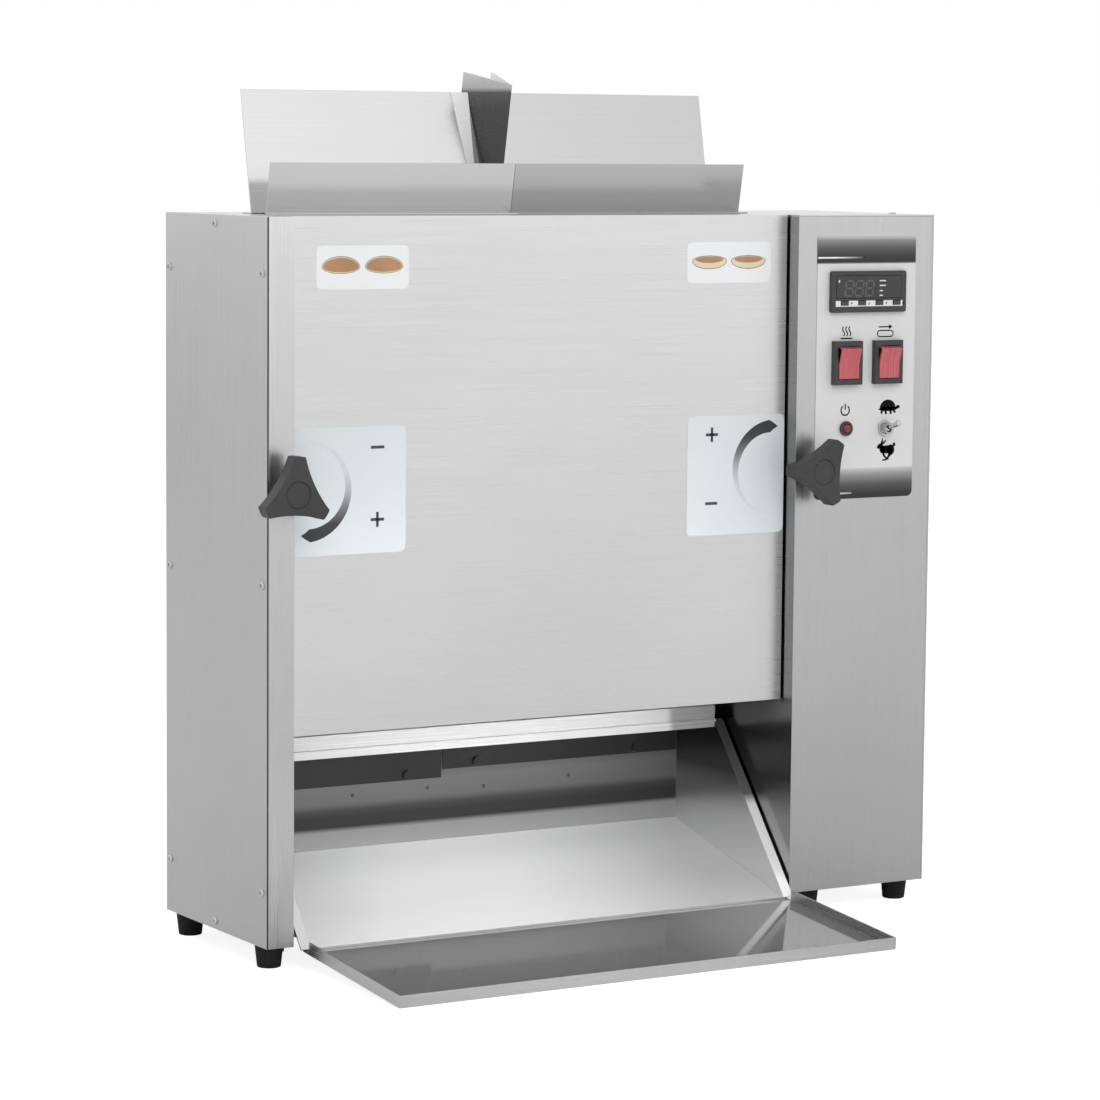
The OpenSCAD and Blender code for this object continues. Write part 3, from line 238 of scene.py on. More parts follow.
def join(name, pieces):
    """Joins several objects into the first one."""
    bpy.ops.object.select_all(action="DESELECT")
    for piece in pieces:
        piece.select_set(True)
    bpy.context.view_layer.objects.active = pieces[0]
    if len(pieces) > 1:
        bpy.ops.object.join()
    pieces[0].name = name
    return pieces[0]


def copy_of(name, mesh):
    """A new object with its own copy of a mesh."""
    piece = bpy.data.objects.new(name, mesh.copy())
    bpy.context.scene.collection.objects.link(piece)
    return piece


def coat(piece, finish):
    """Gives a piece one finish and no other."""
    piece.data.materials.clear()
    piece.data.materials.append(finish)


# %% [markdown]
# The studio is a wide white floor under a white world. The camera, mirrors and glass see plain
# white, so the background stays clean, while softer light reaches matt surfaces. The floor mixes
# a little of its own white with what the lamps give it, so it meets the background without a line
# and still carries the toaster's shadow.

# %% Studio
def node_tree(owner):
    """The emptied node tree of a material or world."""
    owner.use_nodes = True
    tree = owner.node_tree
    tree.nodes.clear()
    return tree


def put(tree, socket, value):
    """Fills an input with a value, or links it to an output or to a node's first output."""
    if isinstance(value, bpy.types.Node):
        value = value.outputs[0]
    if isinstance(value, bpy.types.NodeSocket):
        tree.links.new(value, socket)
    else:
        socket.default_value = value


def fill(tree, node, **sockets):
    """Fills the named inputs of a node."""
    for name, value in sockets.items():
        put(tree, node.inputs[name.replace("_", " ")], value)
    return node


def add(tree, kind, **sockets):
    """Adds a shader node and fills its named inputs."""
    return fill(tree, tree.nodes.new("ShaderNode" + kind), **sockets)


def combine(tree, kind, *values, **settings):
    """Adds a shader node, makes its settings and fills its inputs in their order."""
    node = tree.nodes.new("ShaderNode" + kind)
    adjust(node, settings)
    for socket, value in zip(node.inputs, values):
        put(tree, socket, value)
    return node


world = bpy.data.worlds.new("white_studio")
bpy.context.scene.world = world
tree = node_tree(world)
rays = add(tree, "LightPath").outputs
clear = rays["Is Camera Ray"]
for kind in ("Is Glossy Ray", "Is Transmission Ray"):
    clear = combine(tree, "Math", clear, rays[kind], operation="MAXIMUM")
soft_sky = add(tree, "Background", Color=(1, 1, 1, 1), Strength=0.62)
white_sky = add(tree, "Background", Color=(1, 1, 1, 1), Strength=1.0)
sky = combine(tree, "MixShader", clear, soft_sky, white_sky)
add(tree, "OutputWorld", Surface=sky)

bpy.ops.mesh.primitive_plane_add(size=60)
floor = added("studio_floor")
floor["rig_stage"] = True
paper = bpy.data.materials.new("studio_paper")
tree = node_tree(paper)
matt = add(tree, "BsdfDiffuse", Color=(0.9, 0.9, 0.9, 1))
glow = add(tree, "Emission", Color=(1, 1, 1, 1), Strength=1.45)
seen = add(tree, "LightPath").outputs["Is Camera Ray"]
share = combine(tree, "Math", seen, 0.6, operation="MULTIPLY")
blend = combine(tree, "MixShader", share, matt, glow)
add(tree, "OutputMaterial", Surface=blend)
coat(floor, paper)


def softbox(name, place, target, size, watts, spread=180):
    """A square area lamp that points at the target, with its beam's full angle in degrees."""
    data = bpy.data.lights.new(name, "AREA")
    data.size = size
    data.spread = math.radians(spread)
    data.energy = watts
    lamp = bpy.data.objects.new(name, data)
    lamp.location = place
    lamp.rotation_euler = (Vector(target) - Vector(place)).to_track_quat("-Z", "Y").to_euler()
    lamp.visible_glossy = False
    bpy.context.scene.collection.objects.link(lamp)


softbox("key_softbox", (-1.2, -3.2, 3.0), (0, 0, 0.3), 2.6, 58)
softbox("right_softbox", (3.4, -1.6, 2.2), (0, 0, 0.3), 2.4, 34)
softbox("back_softbox", (0.4, 3.0, 3.2), (0, 0, 0.4), 2.4, 30)
softbox("bay_softbox", (-0.15, -0.85, 0.16), (-0.06, 0.05, 0.02), 0.4, 0.8, 40)
bpy.context.scene.view_settings.view_transform = "Standard"

# %% [markdown]
# ## Finishes
# Nearly all of the toaster is stainless steel, and what tells the panels apart is the direction
# and depth of the brushing, and a tone for each panel that is partly painted light: the same steel
# is lighter on the door than on the side, and painted shade darkens some panels towards the bottom.
# Brushing is drawn as noise squeezed thin across the grain and drawn long along it. The same
# pattern shifts the tone, the roughness and a very shallow bump, and a second, broad noise adds the
# faint clouding that a wiped steel panel has.

# %% Steel finishes
finishes = {}


def shader(name):
    """A new finish, noted by its name: material, tree, Principled shader, Object coordinates."""
    material = finishes[name] = bpy.data.materials.new(name)
    tree = node_tree(material)
    surface = add(tree, "BsdfPrincipled")
    add(tree, "OutputMaterial", Surface=surface)
    place = add(tree, "TexCoord").outputs["Object"]
    return material, tree, surface, place


noise_low, noise_high = 0.3, 0.7


def noise(tree, place, stretch, detail=3.0):
    """Noise, mostly between its low and high, with its own waves per metre along each axis."""
    mapped = add(tree, "Mapping", Vector=place, Scale=stretch)
    waves = add(tree, "TexNoise", Vector=mapped, Scale=1.0, Detail=detail)
    return waves.outputs["Fac"]


def colour_ramp(tree, value, stops):
    """Colours a value by a list of (position from 0 to 1, colour)."""
    node = add(tree, "ValToRGB", Fac=value)
    elements = node.color_ramp.elements
    while len(elements) < len(stops):
        elements.new(0.5)
    for element, (position, colour) in zip(elements, stops):
        element.position = position
        element.color = (*colour, 1)
    return node


def ramp(tree, value, low, high):
    """Colours a noise value from the low colour to the high one."""
    return colour_ramp(tree, value, ((noise_low, low), (noise_high, high)))


def span(tree, value, low, high):
    """Maps a noise value to a range."""
    return add(tree, "MapRange", Value=value, From_Min=noise_low, From_Max=noise_high,
               To_Min=low, To_Max=high)


def product(tree, first, second):
    """Multiplies two colours."""
    return combine(tree, "MixRGB", 1.0, first, second, blend_type="MULTIPLY")


def relief(tree, surface, height, strength, depth):
    """A bump from a height value, in metres."""
    bump = add(tree, "Bump", Height=height, Strength=strength, Distance=depth)
    fill(tree, surface, Normal=bump)


def grey(value, tint=0.0):
    """A grey of the given brightness, very slightly cool or warm."""
    return (value * (1 + tint), value, value * (1 - tint))


def brushed_steel(name, tone, grain, contrast=0.05, rough=(0.26, 0.38), depth=0.00003, metal=1.0,
                  foot_shade=1.0):
    """Stainless steel brushed along the axis where the grain has few waves, with painted shade at
    the bottom.
    """
    material, tree, surface, place = shader(name)
    lines = noise(tree, place, grain, 4.0)
    clouds = noise(tree, place, (5, 5, 5), 2.0)
    streaks = ramp(tree, lines, grey(tone * (1 - contrast)), grey(tone * (1 + contrast)))
    wiped = ramp(tree, clouds, grey(0.95), grey(1.0))
    height = add(tree, "SeparateXYZ", Vector=place).outputs["Z"]
    shade = add(tree, "MapRange", Value=height, From_Max=cad_high.z, To_Min=foot_shade)
    graded = product(tree, product(tree, streaks, wiped), shade)
    fill(tree, surface, Base_Color=graded, Metallic=metal, Roughness=span(tree, lines, *rough))
    relief(tree, surface, lines, 0.35, depth)
    return material


upright_grain, level_grain, even_grain = (1500, 1500, 9), (9, 1500, 1500), (300, 300, 300)
# The tones are partly painted light: the door is lighter than the side and the column. The number
# given last for these three is painted shade that darkens them towards the bottom.
brushed_steel("side_steel", 0.69, upright_grain, 0.025, foot_shade=0.68)
brushed_steel("door_steel", 0.92, level_grain, 0.018, foot_shade=0.60)
brushed_steel("column_steel", 0.74, upright_grain, 0.025, foot_shade=0.52)
brushed_steel("inner_steel", 0.46, level_grain)
brushed_steel("plate_steel", 0.62, level_grain, 0.02, (0.14, 0.24), 0.00001)
brushed_steel("polished_steel", 0.66, level_grain, 0.015, (0.05, 0.11), 0.000004)
brushed_steel("screw_steel", 0.60, even_grain, 0.05, (0.22, 0.34))
brushed_steel("roller_alloy", 0.55, (9, 800, 800))
brushed_steel("motor_alloy", 0.42, (400, 400, 400))
brushed_steel("platen_alloy", 0.36, (260, 260, 260), 0.1, (0.4, 0.55))
brushed_steel("element_sheath", 0.24, (40, 500, 500), 0.12, (0.4, 0.6))
print("steel finishes:", len(finishes))

# %% [markdown]
# The rest is moulded plastic, rubber, brass, heat-proof board and a printed film. Moulded black
# plastic is never quite black or quite smooth: a fine grain scatters the light, so it reads as a
# dark grey. The red rockers and the lamp are clear plastic, so a little light passes through them.

# %% Plastic, rubber and other finishes
def moulded(name, colour, rough, grain=900, depth=0.00004, gloss=0.0, spread=0.18, sheen=0.5):
    """Moulded plastic or rubber with a fine grain."""
    material, tree, surface, place = shader(name)
    grains = noise(tree, place, (grain,) * 3, 3.0)
    flow = noise(tree, place, (30, 30, 30), 2.0)
    dark = tuple(c * (1 - spread) for c in colour)
    light = tuple(min(1, c * (1 + spread)) for c in colour)
    uneven = span(tree, grains, rough * 0.85, min(1, rough * 1.15))
    fill(tree, surface, Base_Color=ramp(tree, flow, dark, light), Roughness=uneven,
         Specular_IOR_Level=sheen, Coat_Weight=gloss, Coat_Roughness=0.08)
    relief(tree, surface, grains, 0.4, depth)
    return material


def clear_red(name, colour, glow):
    """Clear red plastic with moulded ribs inside that break up the light."""
    material, tree, surface, place = shader(name)
    ribs = noise(tree, place, (900, 4, 4), 1.0)
    deep = tuple(c * 0.6 for c in colour)
    fill(tree, surface, Base_Color=ramp(tree, ribs, deep, colour),
         Roughness=span(tree, ribs, 0.1, 0.22), Coat_Weight=0.6, Coat_Roughness=0.05,
         Subsurface_Weight=glow, Subsurface_Radius=(0.004, 0.0008, 0.0008))
    return material


def brass(name):
    """Machined brass."""
    material, tree, surface, place = shader(name)
    turning = noise(tree, place, (40, 700, 700), 3.0)
    yellow = ramp(tree, turning, (0.56, 0.40, 0.16), (0.70, 0.52, 0.24))
    fill(tree, surface, Base_Color=yellow, Metallic=1.0, Roughness=span(tree, turning, 0.25, 0.4))
    relief(tree, surface, turning, 0.3, 0.00003)
    return material


moulded("rubber_black", (0.006, 0.006, 0.007), 0.8, 600, sheen=0.3)
moulded("release_black", (0.009, 0.009, 0.009), 0.42, 500)
moulded("belt_black", (0.03, 0.03, 0.03), 0.7, 400, 0.00012)
moulded("knob_black", (0.030, 0.030, 0.031), 0.5, 1100, 0.00006)
moulded("controller_black", (0.035, 0.036, 0.037), 0.4, 1100)
moulded("window_dark", (0.035, 0.035, 0.036), 0.12, 200, 0.000005, gloss=0.5)
moulded("key_grey", (0.05, 0.05, 0.052), 0.5)
moulded("overlay_grey", (0.72, 0.72, 0.72), 0.38, 700, 0.00002, spread=0.015)
moulded("ivory_plastic", (0.72, 0.68, 0.56), 0.5, 700, 0.00003, spread=0.05)
moulded("insulation", (0.66, 0.62, 0.52), 0.9, 300, 0.0004, spread=0.12)
clear_red("rocker_red", (0.63, 0.10, 0.12), 0.25)
clear_red("lamp_red", (0.25, 0.015, 0.02), 0.2)
brass("gear_brass")
print("finishes:", len(finishes))

# %% [markdown]
# Every solid starts with the finish that its record names. The solids that show get a better
# version of themselves below, and the ones inside keep this.

# %% Dress the solids
slot_of = {part["node"]: part["material_slot"] for part in frame["record"]["subparts"]}


def wear(piece, slot, finish=None):
    """Gives a piece one finish, the record's material of the slot unless another finish is given.
    """
    coat(piece, finish or finishes[slot])


for node, solid in solids.items():
    coat(solid, finishes[slot_of[node]])
print("dressed:", len(slot_of))

# %% [markdown]
# A folded or moulded edge is never knife-sharp: it always catches a thin line of light. A copy of
# each visible solid is cleaned (its loose triangles merged into whole faces) and its edges are
# bevelled by a fraction of a millimetre on sheet steel, or by a millimetre or more on mouldings.
# The copy then stands in for the solid, which stays behind for the physics.

# %% Rounded edges for the visible solids
weld_reach = 0.00001


def softened(node, width, segments=2):
    """A cleaned copy of a solid with rounded edges, which replaces it."""
    piece = copy_of(node + "_dressed", solids[node].data)
    pick(piece)
    bpy.ops.mesh.customdata_custom_splitnormals_clear()
    edit_all(piece)
    bpy.ops.mesh.remove_doubles(threshold=weld_reach)
    bpy.ops.mesh.dissolve_limited(angle_limit=math.radians(0.5))
    set_mode("OBJECT")
    round_edges(piece, width, segments)
    wear(piece, slot_of[node])
    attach(piece, solids[node]["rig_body"])
    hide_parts(node)
    return piece


sheet_edge, plate_edge, overlay_edge, toggle_edge = 0.0004, 0.00025, 0.00012, 0.0003
moulded_edge, knob_edge, foot_edge, lens_edge = 0.0007, 0.0008, 0.001, 0.0016
rounded = {
    sheet_edge: ("left_frame", "left_side_cover", "right_housing", "right_side_cover",
                 "right_top_cap", "rear_panel", "top_cover", "front_door", "switch_housings"),
    plate_edge: ("rear_feed_plate", "left_front_feed_plate", "right_front_feed_plate",
                 "lane_divider", "landing_chute", "tray", "chute_liner"),
    moulded_edge: ("temperature_controller", "lamp_bezel", "cable_gland", "knob_bushes"),
    foot_edge: ("feet",),
    overlay_edge: ("control_overlay",),
}
dressed = {node: softened(node, width) for width, nodes in rounded.items() for node in nodes}
print("rounded:", {node: len(piece.data.polygons) for node, piece in dressed.items()})

# %% [markdown]
# ## Knobs
# The two hand knobs are three-lobed mouldings with a shallow round dish in the middle of the face.
# The solid already has the lobes and the dish, so its copy only needs rounding, wider than on the
# steel and with one more segment.

# %% Knobs
for node in ("left_knob", "right_knob"):
    knob = softened(node, knob_edge, 3)
    print(node, len(knob.data.polygons), "faces")

# %% [markdown]
# ## Printed labels
# Four white film labels are stuck on the door. Each starts as a flat box with its four upright
# corners bevelled round. The prints on them are thin shapes that stand a few hundredths of a
# millimetre off the film: a flat disc or grid primitive is bent into its outline point by point,
# and Solidify gives it the thickness of ink.

# %% Places on the cabinet
cabinet_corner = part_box("left_side_cover")[0]
door_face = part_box("front_door")[0].y
overlay_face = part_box("control_overlay")[0].y
film_thick, hair = 0.0002, 0.0001


def on_front(x, z, face):
    """A point on a front plane from millimetres to the right of and above the cabinet's corner."""
    return Vector((cabinet_corner.x + x / 1000, face, cabinet_corner.z + z / 1000))


def in_cabinet(point):
    """A point in millimetres from the cabinet's corner."""
    return (point - cabinet_corner) * 1000


def film(name, x0, x1, z0, z1, face, thick=film_thick, corner=0.005):
    """A film label with round corners, let into its panel by a hair."""
    low, high = on_front(x0, z0, face - thick), on_front(x1, z1, face + hair)
    piece = new_box(name, low, high)
    pick_edges(piece, lambda a, b: abs(a.x - b.x) + abs(a.z - b.z) < hair)
    bpy.ops.mesh.bevel(offset=corner, segments=6, affect="EDGES")
    leave_edit(piece)
    return piece


def ink(piece, finish, body, thick=0.00006):
    """Thickens a flat print, gives it its finish and lets it ride on a body."""
    modify(piece, "SOLIDIFY", thickness=thick, offset=0)
    edit_all(piece)
    bpy.ops.mesh.normals_make_consistent(inside=False)
    set_mode("OBJECT")
    coat(piece, finish)
    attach(piece, body)


def printed_disc(name, x, z, face, wide, above, below, points=40):
    """A flat oval print with its own height above and below the middle."""
    centre = on_front(x, z, face)
    bpy.ops.mesh.primitive_circle_add(vertices=points, radius=1, fill_type="NGON")
    piece = added(name)
    for point in piece.data.vertices:
        tall = above if point.co.y > 0 else below
        point.co = centre + Vector((point.co.x * wide / 2000, 0, point.co.y * tall / 1000))
    return piece


def printed_strip(name, path, widths, face):
    """A flat print along a path of points in millimetres, with its own width at each point."""
    bpy.ops.mesh.primitive_grid_add(x_subdivisions=len(path) - 1, y_subdivisions=1, size=2)
    piece = added(name)
    for point in piece.data.vertices:
        i = round((point.co.x + 1) / 2 * (len(path) - 1))
        before, after = Vector(path[max(i - 1, 0)]), Vector(path[min(i + 1, len(path) - 1)])
        along = (after - before).normalized()
        spot = Vector(path[i]) + Vector((-along.y, along.x)) * point.co.y * widths[i] / 2
        point.co = on_front(spot.x, spot.y, face)
    return piece


print("door face at y =", round(door_face, 4))

# %% [markdown]
# Ink is matt and a little uneven. Some prints and panels change their tone from place to place. A
# colour ramp does that, over the distance from the cabinet's corner along one direction. The arrows
# fade from the film's own white to dark grey over their height.

# %% Inks
def film_white(name, colour):
    """White vinyl film with a soft gloss."""
    return moulded(name, colour, 0.32, 500, 0.00001, gloss=0.1, spread=0.01)


along_x, along_y, along_z = (1, 0, 0), (0, 1, 0), (0, 0, 1)


def placed_tones(tree, place, way, stops, tint=0.0):
    """Greys from a list of (cabinet millimetres along a direction, brightness)."""
    along = combine(tree, "VectorMath", place, way, operation="DOT_PRODUCT").outputs["Value"]
    start, first, last = cabinet_corner.dot(Vector(way)), stops[0][0], stops[-1][0]
    share = add(tree, "MapRange", Value=along, From_Min=start + first / 1000,
                From_Max=start + last / 1000)
    greys = [((where - first) / (last - first), grey(tone, tint)) for where, tone in stops]
    return colour_ramp(tree, share, greys)


def fading_ink(name, way, stops, tint=0.0):
    """Ink whose tone runs through a list of (cabinet millimetres along a direction, brightness)."""
    material, tree, surface, place = shader(name)
    grains = noise(tree, place, (500, 500, 500))
    fill(tree, surface, Base_Color=placed_tones(tree, place, way, stops, tint),
         Roughness=span(tree, grains, 0.35, 0.5), Specular_IOR_Level=0.15)
    return material


knob_film = film_white("knob_film", (0.66, 0.695, 0.715))
bun_film = film_white("bun_film", (0.81, 0.826, 0.832))
dark_ink = moulded("dark_ink", (0.06, 0.065, 0.07), 0.45, 600, 0.00001, sheen=0.15)
black_ink = moulded("black_ink", (0.006, 0.006, 0.007), 0.5, 600, 0.00001, sheen=0.05)
crust_ink = moulded("crust_ink", (0.42, 0.23, 0.12), 0.5, 900, 0.00001, spread=0.12)
crumb_ink = moulded("crumb_ink", (0.72, 0.64, 0.44), 0.5, 900, 0.00001, spread=0.05)
outline_ink = moulded("outline_ink", (0.16, 0.15, 0.12), 0.5, 600, 0.00001)
print("finishes and inks:", len(finishes))

# %% [markdown]
# The upper labels show which half of a bun goes in which lane: two domed tops on the left, two
# flat heels with their cut face up on the right. Each is three ovals laid on each other, so the
# edge of the lower one stays as an outline.

# %% Bun labels
film_front = door_face - film_thick


def door_label(name, x0, x1, z0, z1, finish):
    """A white film label that rides on the door."""
    label = film(name, x0, x1, z0, z1, door_face)
    coat(label, finish)
    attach(label, "front_door")


door_label("top_half_label", 50, 132.5, 517.5, 552, bun_film)
door_label("heel_half_label", 394, 477, 518.6, 552.5, bun_film)
layers = ((outline_ink, 0.00006), (crumb_ink, 0.00010), (crust_ink, 0.00014))
# Half, middles in x, and three ovals as (z, width, height above the middle, height below it)
bun_halves = (
    ("top", (71.8, 110.3), ((535, 34, 8.6, 5.2), (535, 33.0, 8.1, 4.7), (535, 31.6, 7.4, 4.0))),
    ("heel", (416, 454.4), ((537, 34.4, 4.4, 6.9), (537, 33.2, 3.8, 6.3), (538.4, 27.6, 2.0, 3.2))),
)
bun_prints = 0
for half, middles, ovals in bun_halves:
    for x in middles:
        for (z, wide, above, below), (finish, thick) in zip(ovals, layers):
            bun_prints += 1
            oval = printed_disc(f"{half}_print_{bun_prints}", x, z, film_front, wide, above, below)
            ink(oval, finish, "front_door", thick)
print("bun prints:", bun_prints)

# %% [markdown]
# The lower labels sit behind the knobs and carry a curved arrow each. Turning a knob clockwise
# makes room for a thicker bun, so the arrow starts at a plain minus and ends at a plain plus. The
# arrow is a strip along a half circle that widens as it goes, and its last points narrow quickly to
# make the tip.

# %% Knob labels
def sweep(centre_x, centre_z, radius, start, end, steps=44):
    """Points on an arc, with the angle in degrees from the right-hand side."""
    turns = [math.radians(start + (end - start) * i / steps) for i in range(steps + 1)]
    return [(centre_x + radius * math.cos(a), centre_z + radius * math.sin(a)) for a in turns]


def arrow_widths(steps=44, thin=2.0, wide=10.5, tip=3):
    """Widths along the arrow: growing, then closing to a point."""
    grow = [thin + (wide - thin) * (i / (steps - tip)) ** 1.3 for i in range(steps - tip + 1)]
    return grow + [wide * (1 - (i + 1) / tip) * 0.98 + 0.1 for i in range(tip)]


def mark(name, x, z, upright, arm=6, wide=2.4):
    """A plain minus, or a plus if upright is true."""
    paths = [[(x - arm, z), (x + arm, z)]]
    if upright:
        paths.append([(x, z - arm), (x, z + arm)])
    bars = [printed_strip(name, path, [wide] * 2, film_front) for path in paths]
    ink(join(name, bars), dark_ink, "front_door", thick=0.00012)


# Side, label in x and z, arrow's middle, its first and last angle, x of the marks, fades downwards
knob_labels = (
    ("left", 26.2, 130.5, 308, 409, 42, 86, -98, 105, True),
    ("right", 396.5, 492.8, 308, 408, 481.2, 266, 82, 420.5, False),
)
arrow_z, arrow_radius, upper_mark_z, lower_mark_z = 361, 36.9, 392.3, 334.7
arrow_tones = ((324, 0.05), (333, 0.06), (345, 0.18), (361, 0.48), (373, 0.61), (398, 0.68))
for side, x0, x1, z0, z1, middle, start, end, mark_x, falls in knob_labels:
    door_label(f"{side}_knob_label", x0, x1, z0, z1, knob_film)
    rising = [(2 * arrow_z - z, tone) for z, tone in arrow_tones[::-1]]
    fade = fading_ink(f"{side}_arrow_ink", along_z, arrow_tones if falls else rising, -0.04)
    arc = sweep(middle, arrow_z, arrow_radius, start, end)
    arrow = printed_strip(f"{side}_arrow", arc, arrow_widths(), film_front)
    ink(arrow, fade, "front_door", thick=0.00010)
    mark(f"{side}_upper_mark", mark_x, upper_mark_z, not falls)
    mark(f"{side}_lower_mark", mark_x, lower_mark_z, falls)
print("knob labels:", len(knob_labels))

# %% [markdown]
# ## Control panel
# The panel is one printed film. Its two dark bands shade from light at their upper edge to almost
# black, so the film's finish is a colour ramp over the height. The thin bright line in each band
# fades out to the right and is a print of its own.

# %% Overlay film
overlay_foot, overlay_top = (in_cabinet(corner).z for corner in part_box("control_overlay"))


def banded_film(name):
    """Grey film whose tone runs through a list of (share of the height, brightness)."""
    material, tree, surface, place = shader(name)
    shares = ((0.0, 0.010), (0.018, 0.014), (0.055, 0.075), (0.09, 0.27), (0.111, 0.50),
              (0.116, 0.66), (0.889, 0.66), (0.891, 0.012), (0.92, 0.030), (0.948, 0.085),
              (0.974, 0.21), (0.99, 0.48), (1.0, 0.6))
    tall = overlay_top - overlay_foot
    stops = [(overlay_foot + share * tall, tone) for share, tone in shares]
    grains = noise(tree, place, (700, 700, 700))
    tones = placed_tones(tree, place, along_z, stops)
    fill(tree, surface, Base_Color=tones, Roughness=span(tree, grains, 0.34, 0.42))
    relief(tree, surface, grains, 0.3, 0.00002)
    return material


coat(dressed["control_overlay"], banded_film("banded_film"))
bright_line = fading_ink("bright_line", along_x, ((514, 0.85), (532, 0.85), (562, 0.03)))
for name, z, start, end in (("upper_line", 539.1, 514.4, 563), ("lower_line", 339.7, 517, 552)):
    line = printed_strip(name, [(start, z), (end, z)], [1.3, 1.3], overlay_face)
    ink(line, bright_line, "cabinet")
print("overlay face at y =", round(overlay_face, 4))

# %% [markdown]
# Signs replace words: rising heat over the left switch, a belt with an arrow over the right one,
# the usual ring-and-bar over the lamp, and a tortoise and a hare for slow and fast. They are
# drawn from strips and ovals and joined into one print each.

# %% Panel signs
def sign(name, *shapes):
    """Joins flat shapes into one black print on the panel."""
    ink(join(name, list(shapes)), black_ink, "cabinet", thick=0.00008)


def blob(name, x, z, wide, above, below=None):
    """An oval on the panel, as tall below its middle as above it unless told otherwise."""
    return printed_disc(name, x, z, overlay_face, wide, above, below or above, 28)


def limb(name, *path, thick, end=None):
    """A stroke that keeps its thickness, or tapers to that of its end."""
    end = end or thick
    widths = [thick + (end - thick) * i / (len(path) - 1) for i in range(len(path))]
    return printed_strip(name, list(path), widths, overlay_face)


def wave(name, x, z, tall=8.0, sway=1.0, thick=1.1):
    """One wavy line that rises."""
    shares = [i / 16 for i in range(17)]
    path = [(x + sway * math.sin(2 * math.pi * s), z + tall * (s - 0.5)) for s in shares]
    return limb(name, *path, thick=thick)


def leaf(name, start, middle, end, wide):
    """A stroke that is wide in the middle."""
    return printed_strip(name, [start, middle, end], [wide * 0.6, wide, wide * 0.2], overlay_face)


sign("heat_sign", *[wave(f"wave_{i}", 541.4 + 3.2 * i, 477) for i in range(3)],
     limb("heat_base", (538.5, 471), (550.5, 471), thick=1.2))
belt_ends = sweep(590, 474.5, 2.6, -85, 85, 17) + sweep(579, 474.5, 2.6, 95, 265, 17)
sign("belt_sign", limb("belt_loop", *belt_ends, belt_ends[0], thick=1.0),
     limb("belt_arrow", (577.5, 480.2), (588.5, 480.2), thick=1.1),
     limb("belt_tip", (588.2, 480.2), (591.8, 480.2), thick=4.2, end=0.2))
power_x = 544.4
power_ring = sweep(power_x, 410.2, 4.2, 125, 415, 29)
sign("power_sign", limb("power_ring", *power_ring, thick=1.3),
     limb("power_bar", (power_x, 410.6), (power_x, 415.8), thick=1.3))
print("signs: 3")

# %% Tortoise and hare
sign("slow_sign", blob("shell", 588.4, 410.6, 16.6, 7.6, 1.6),
     blob("shell_rim", 588.4, 410.2, 18.2, 1.8),
     limb("neck", (595.6, 410), (598.4, 411.4), thick=2.6, end=2.2),
     blob("head", 599, 411.8, 4.0, 1.5),
     limb("tail", (580.8, 410.6), (578.6, 409.8), thick=1.4, end=0.3),
     limb("leg_1", (582.8, 409.6), (581.8, 406.2), thick=2.4, end=2.0),
     limb("leg_2", (586, 409.2), (586.8, 405.8), thick=2.4, end=2.2),
     limb("leg_3", (591.4, 409.2), (591.6, 405.8), thick=2.4, end=2.2),
     limb("leg_4", (594, 409.6), (596.2, 406.8), thick=2.2, end=1.8))
sign("fast_sign", blob("haunch", 592, 375.2, 8.0, 4.6, 4.4),
     blob("body", 587.6, 375.4, 12.6, 3.8, 3.2), blob("chest", 583.6, 375.8, 6.0, 3.4),
     blob("head", 581.4, 378.6, 5.6, 2.4), blob("muzzle", 579.2, 377.8, 3.0, 1.4),
     leaf("ear_1", (582, 380), (583.2, 382.6), (583.6, 385.6), wide=2.0),
     leaf("ear_2", (583, 379.8), (585.4, 381.8), (587.4, 384), wide=1.9),
     blob("scut", 595.6, 379.6, 2.8, 1.8),
     limb("thigh", (592.6, 373.4), (590, 369.6), thick=4.4, end=2.2),
     limb("hind_foot", (590.4, 370), (587.6, 367), (583.6, 366.4), thick=2.0, end=1.2),
     limb("fore_leg", (584.2, 373.6), (585.4, 370.2), (588.4, 367.6), (590.4, 367.4),
          thick=2.4, end=1.0))
print("signs: 5")

# %% [markdown]
# The temperature controller is a small bought-in instrument. Its dark window gets three unlit
# digits, each of seven slanted bars, and the strip around the keys is white. A few plain marks
# stand where such an instrument has its captions.

# %% Controller display
controller_low, controller_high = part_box("temperature_controller")
window_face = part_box("controller_window")[0].y


def on_controller(x, down):
    """Millimetres from the bezel's top left corner, turned into cabinet millimetres."""
    return in_cabinet(controller_low).x + x, in_cabinet(controller_high).z - down


def digit(name, x, down, wide=7.6, tall=12.6, slant=1.6, thick=1.5):
    """Seven bars that make up one slanted digit."""
    def corner(i, j):
        lean = slant * (j - 1) / 2
        return on_controller(x + wide * (i - 0.5) + lean, down - tall * (j - 1) / 2)

    ends = [((0, 0), (1, 0)), ((0, 1), (1, 1)), ((0, 2), (1, 2)),
            ((0, 0), (0, 1)), ((0, 1), (0, 2)), ((1, 0), (1, 1)), ((1, 1), (1, 2))]
    bars = []
    for i, (a, b) in enumerate(ends):
        start, end = Vector(corner(*a)), Vector(corner(*b))
        path = [start.lerp(end, t) for t in (0.1, 0.2, 0.8, 0.9)]
        bars.append(printed_strip(f"{name}_{i}", path, [0.3, thick, thick, 0.3], window_face))
    return join(name, bars)


unlit_ink = moulded("unlit_ink", (0.10, 0.098, 0.095), 0.3, 600, 0.00001)
panel_white = film_white("panel_white", (0.70, 0.71, 0.72))
for i in range(3):
    ink(digit(f"digit_{i + 1}", 18.0 + 10.4 * i, 14.6), unlit_ink, "cabinet")
print("digits: 3")

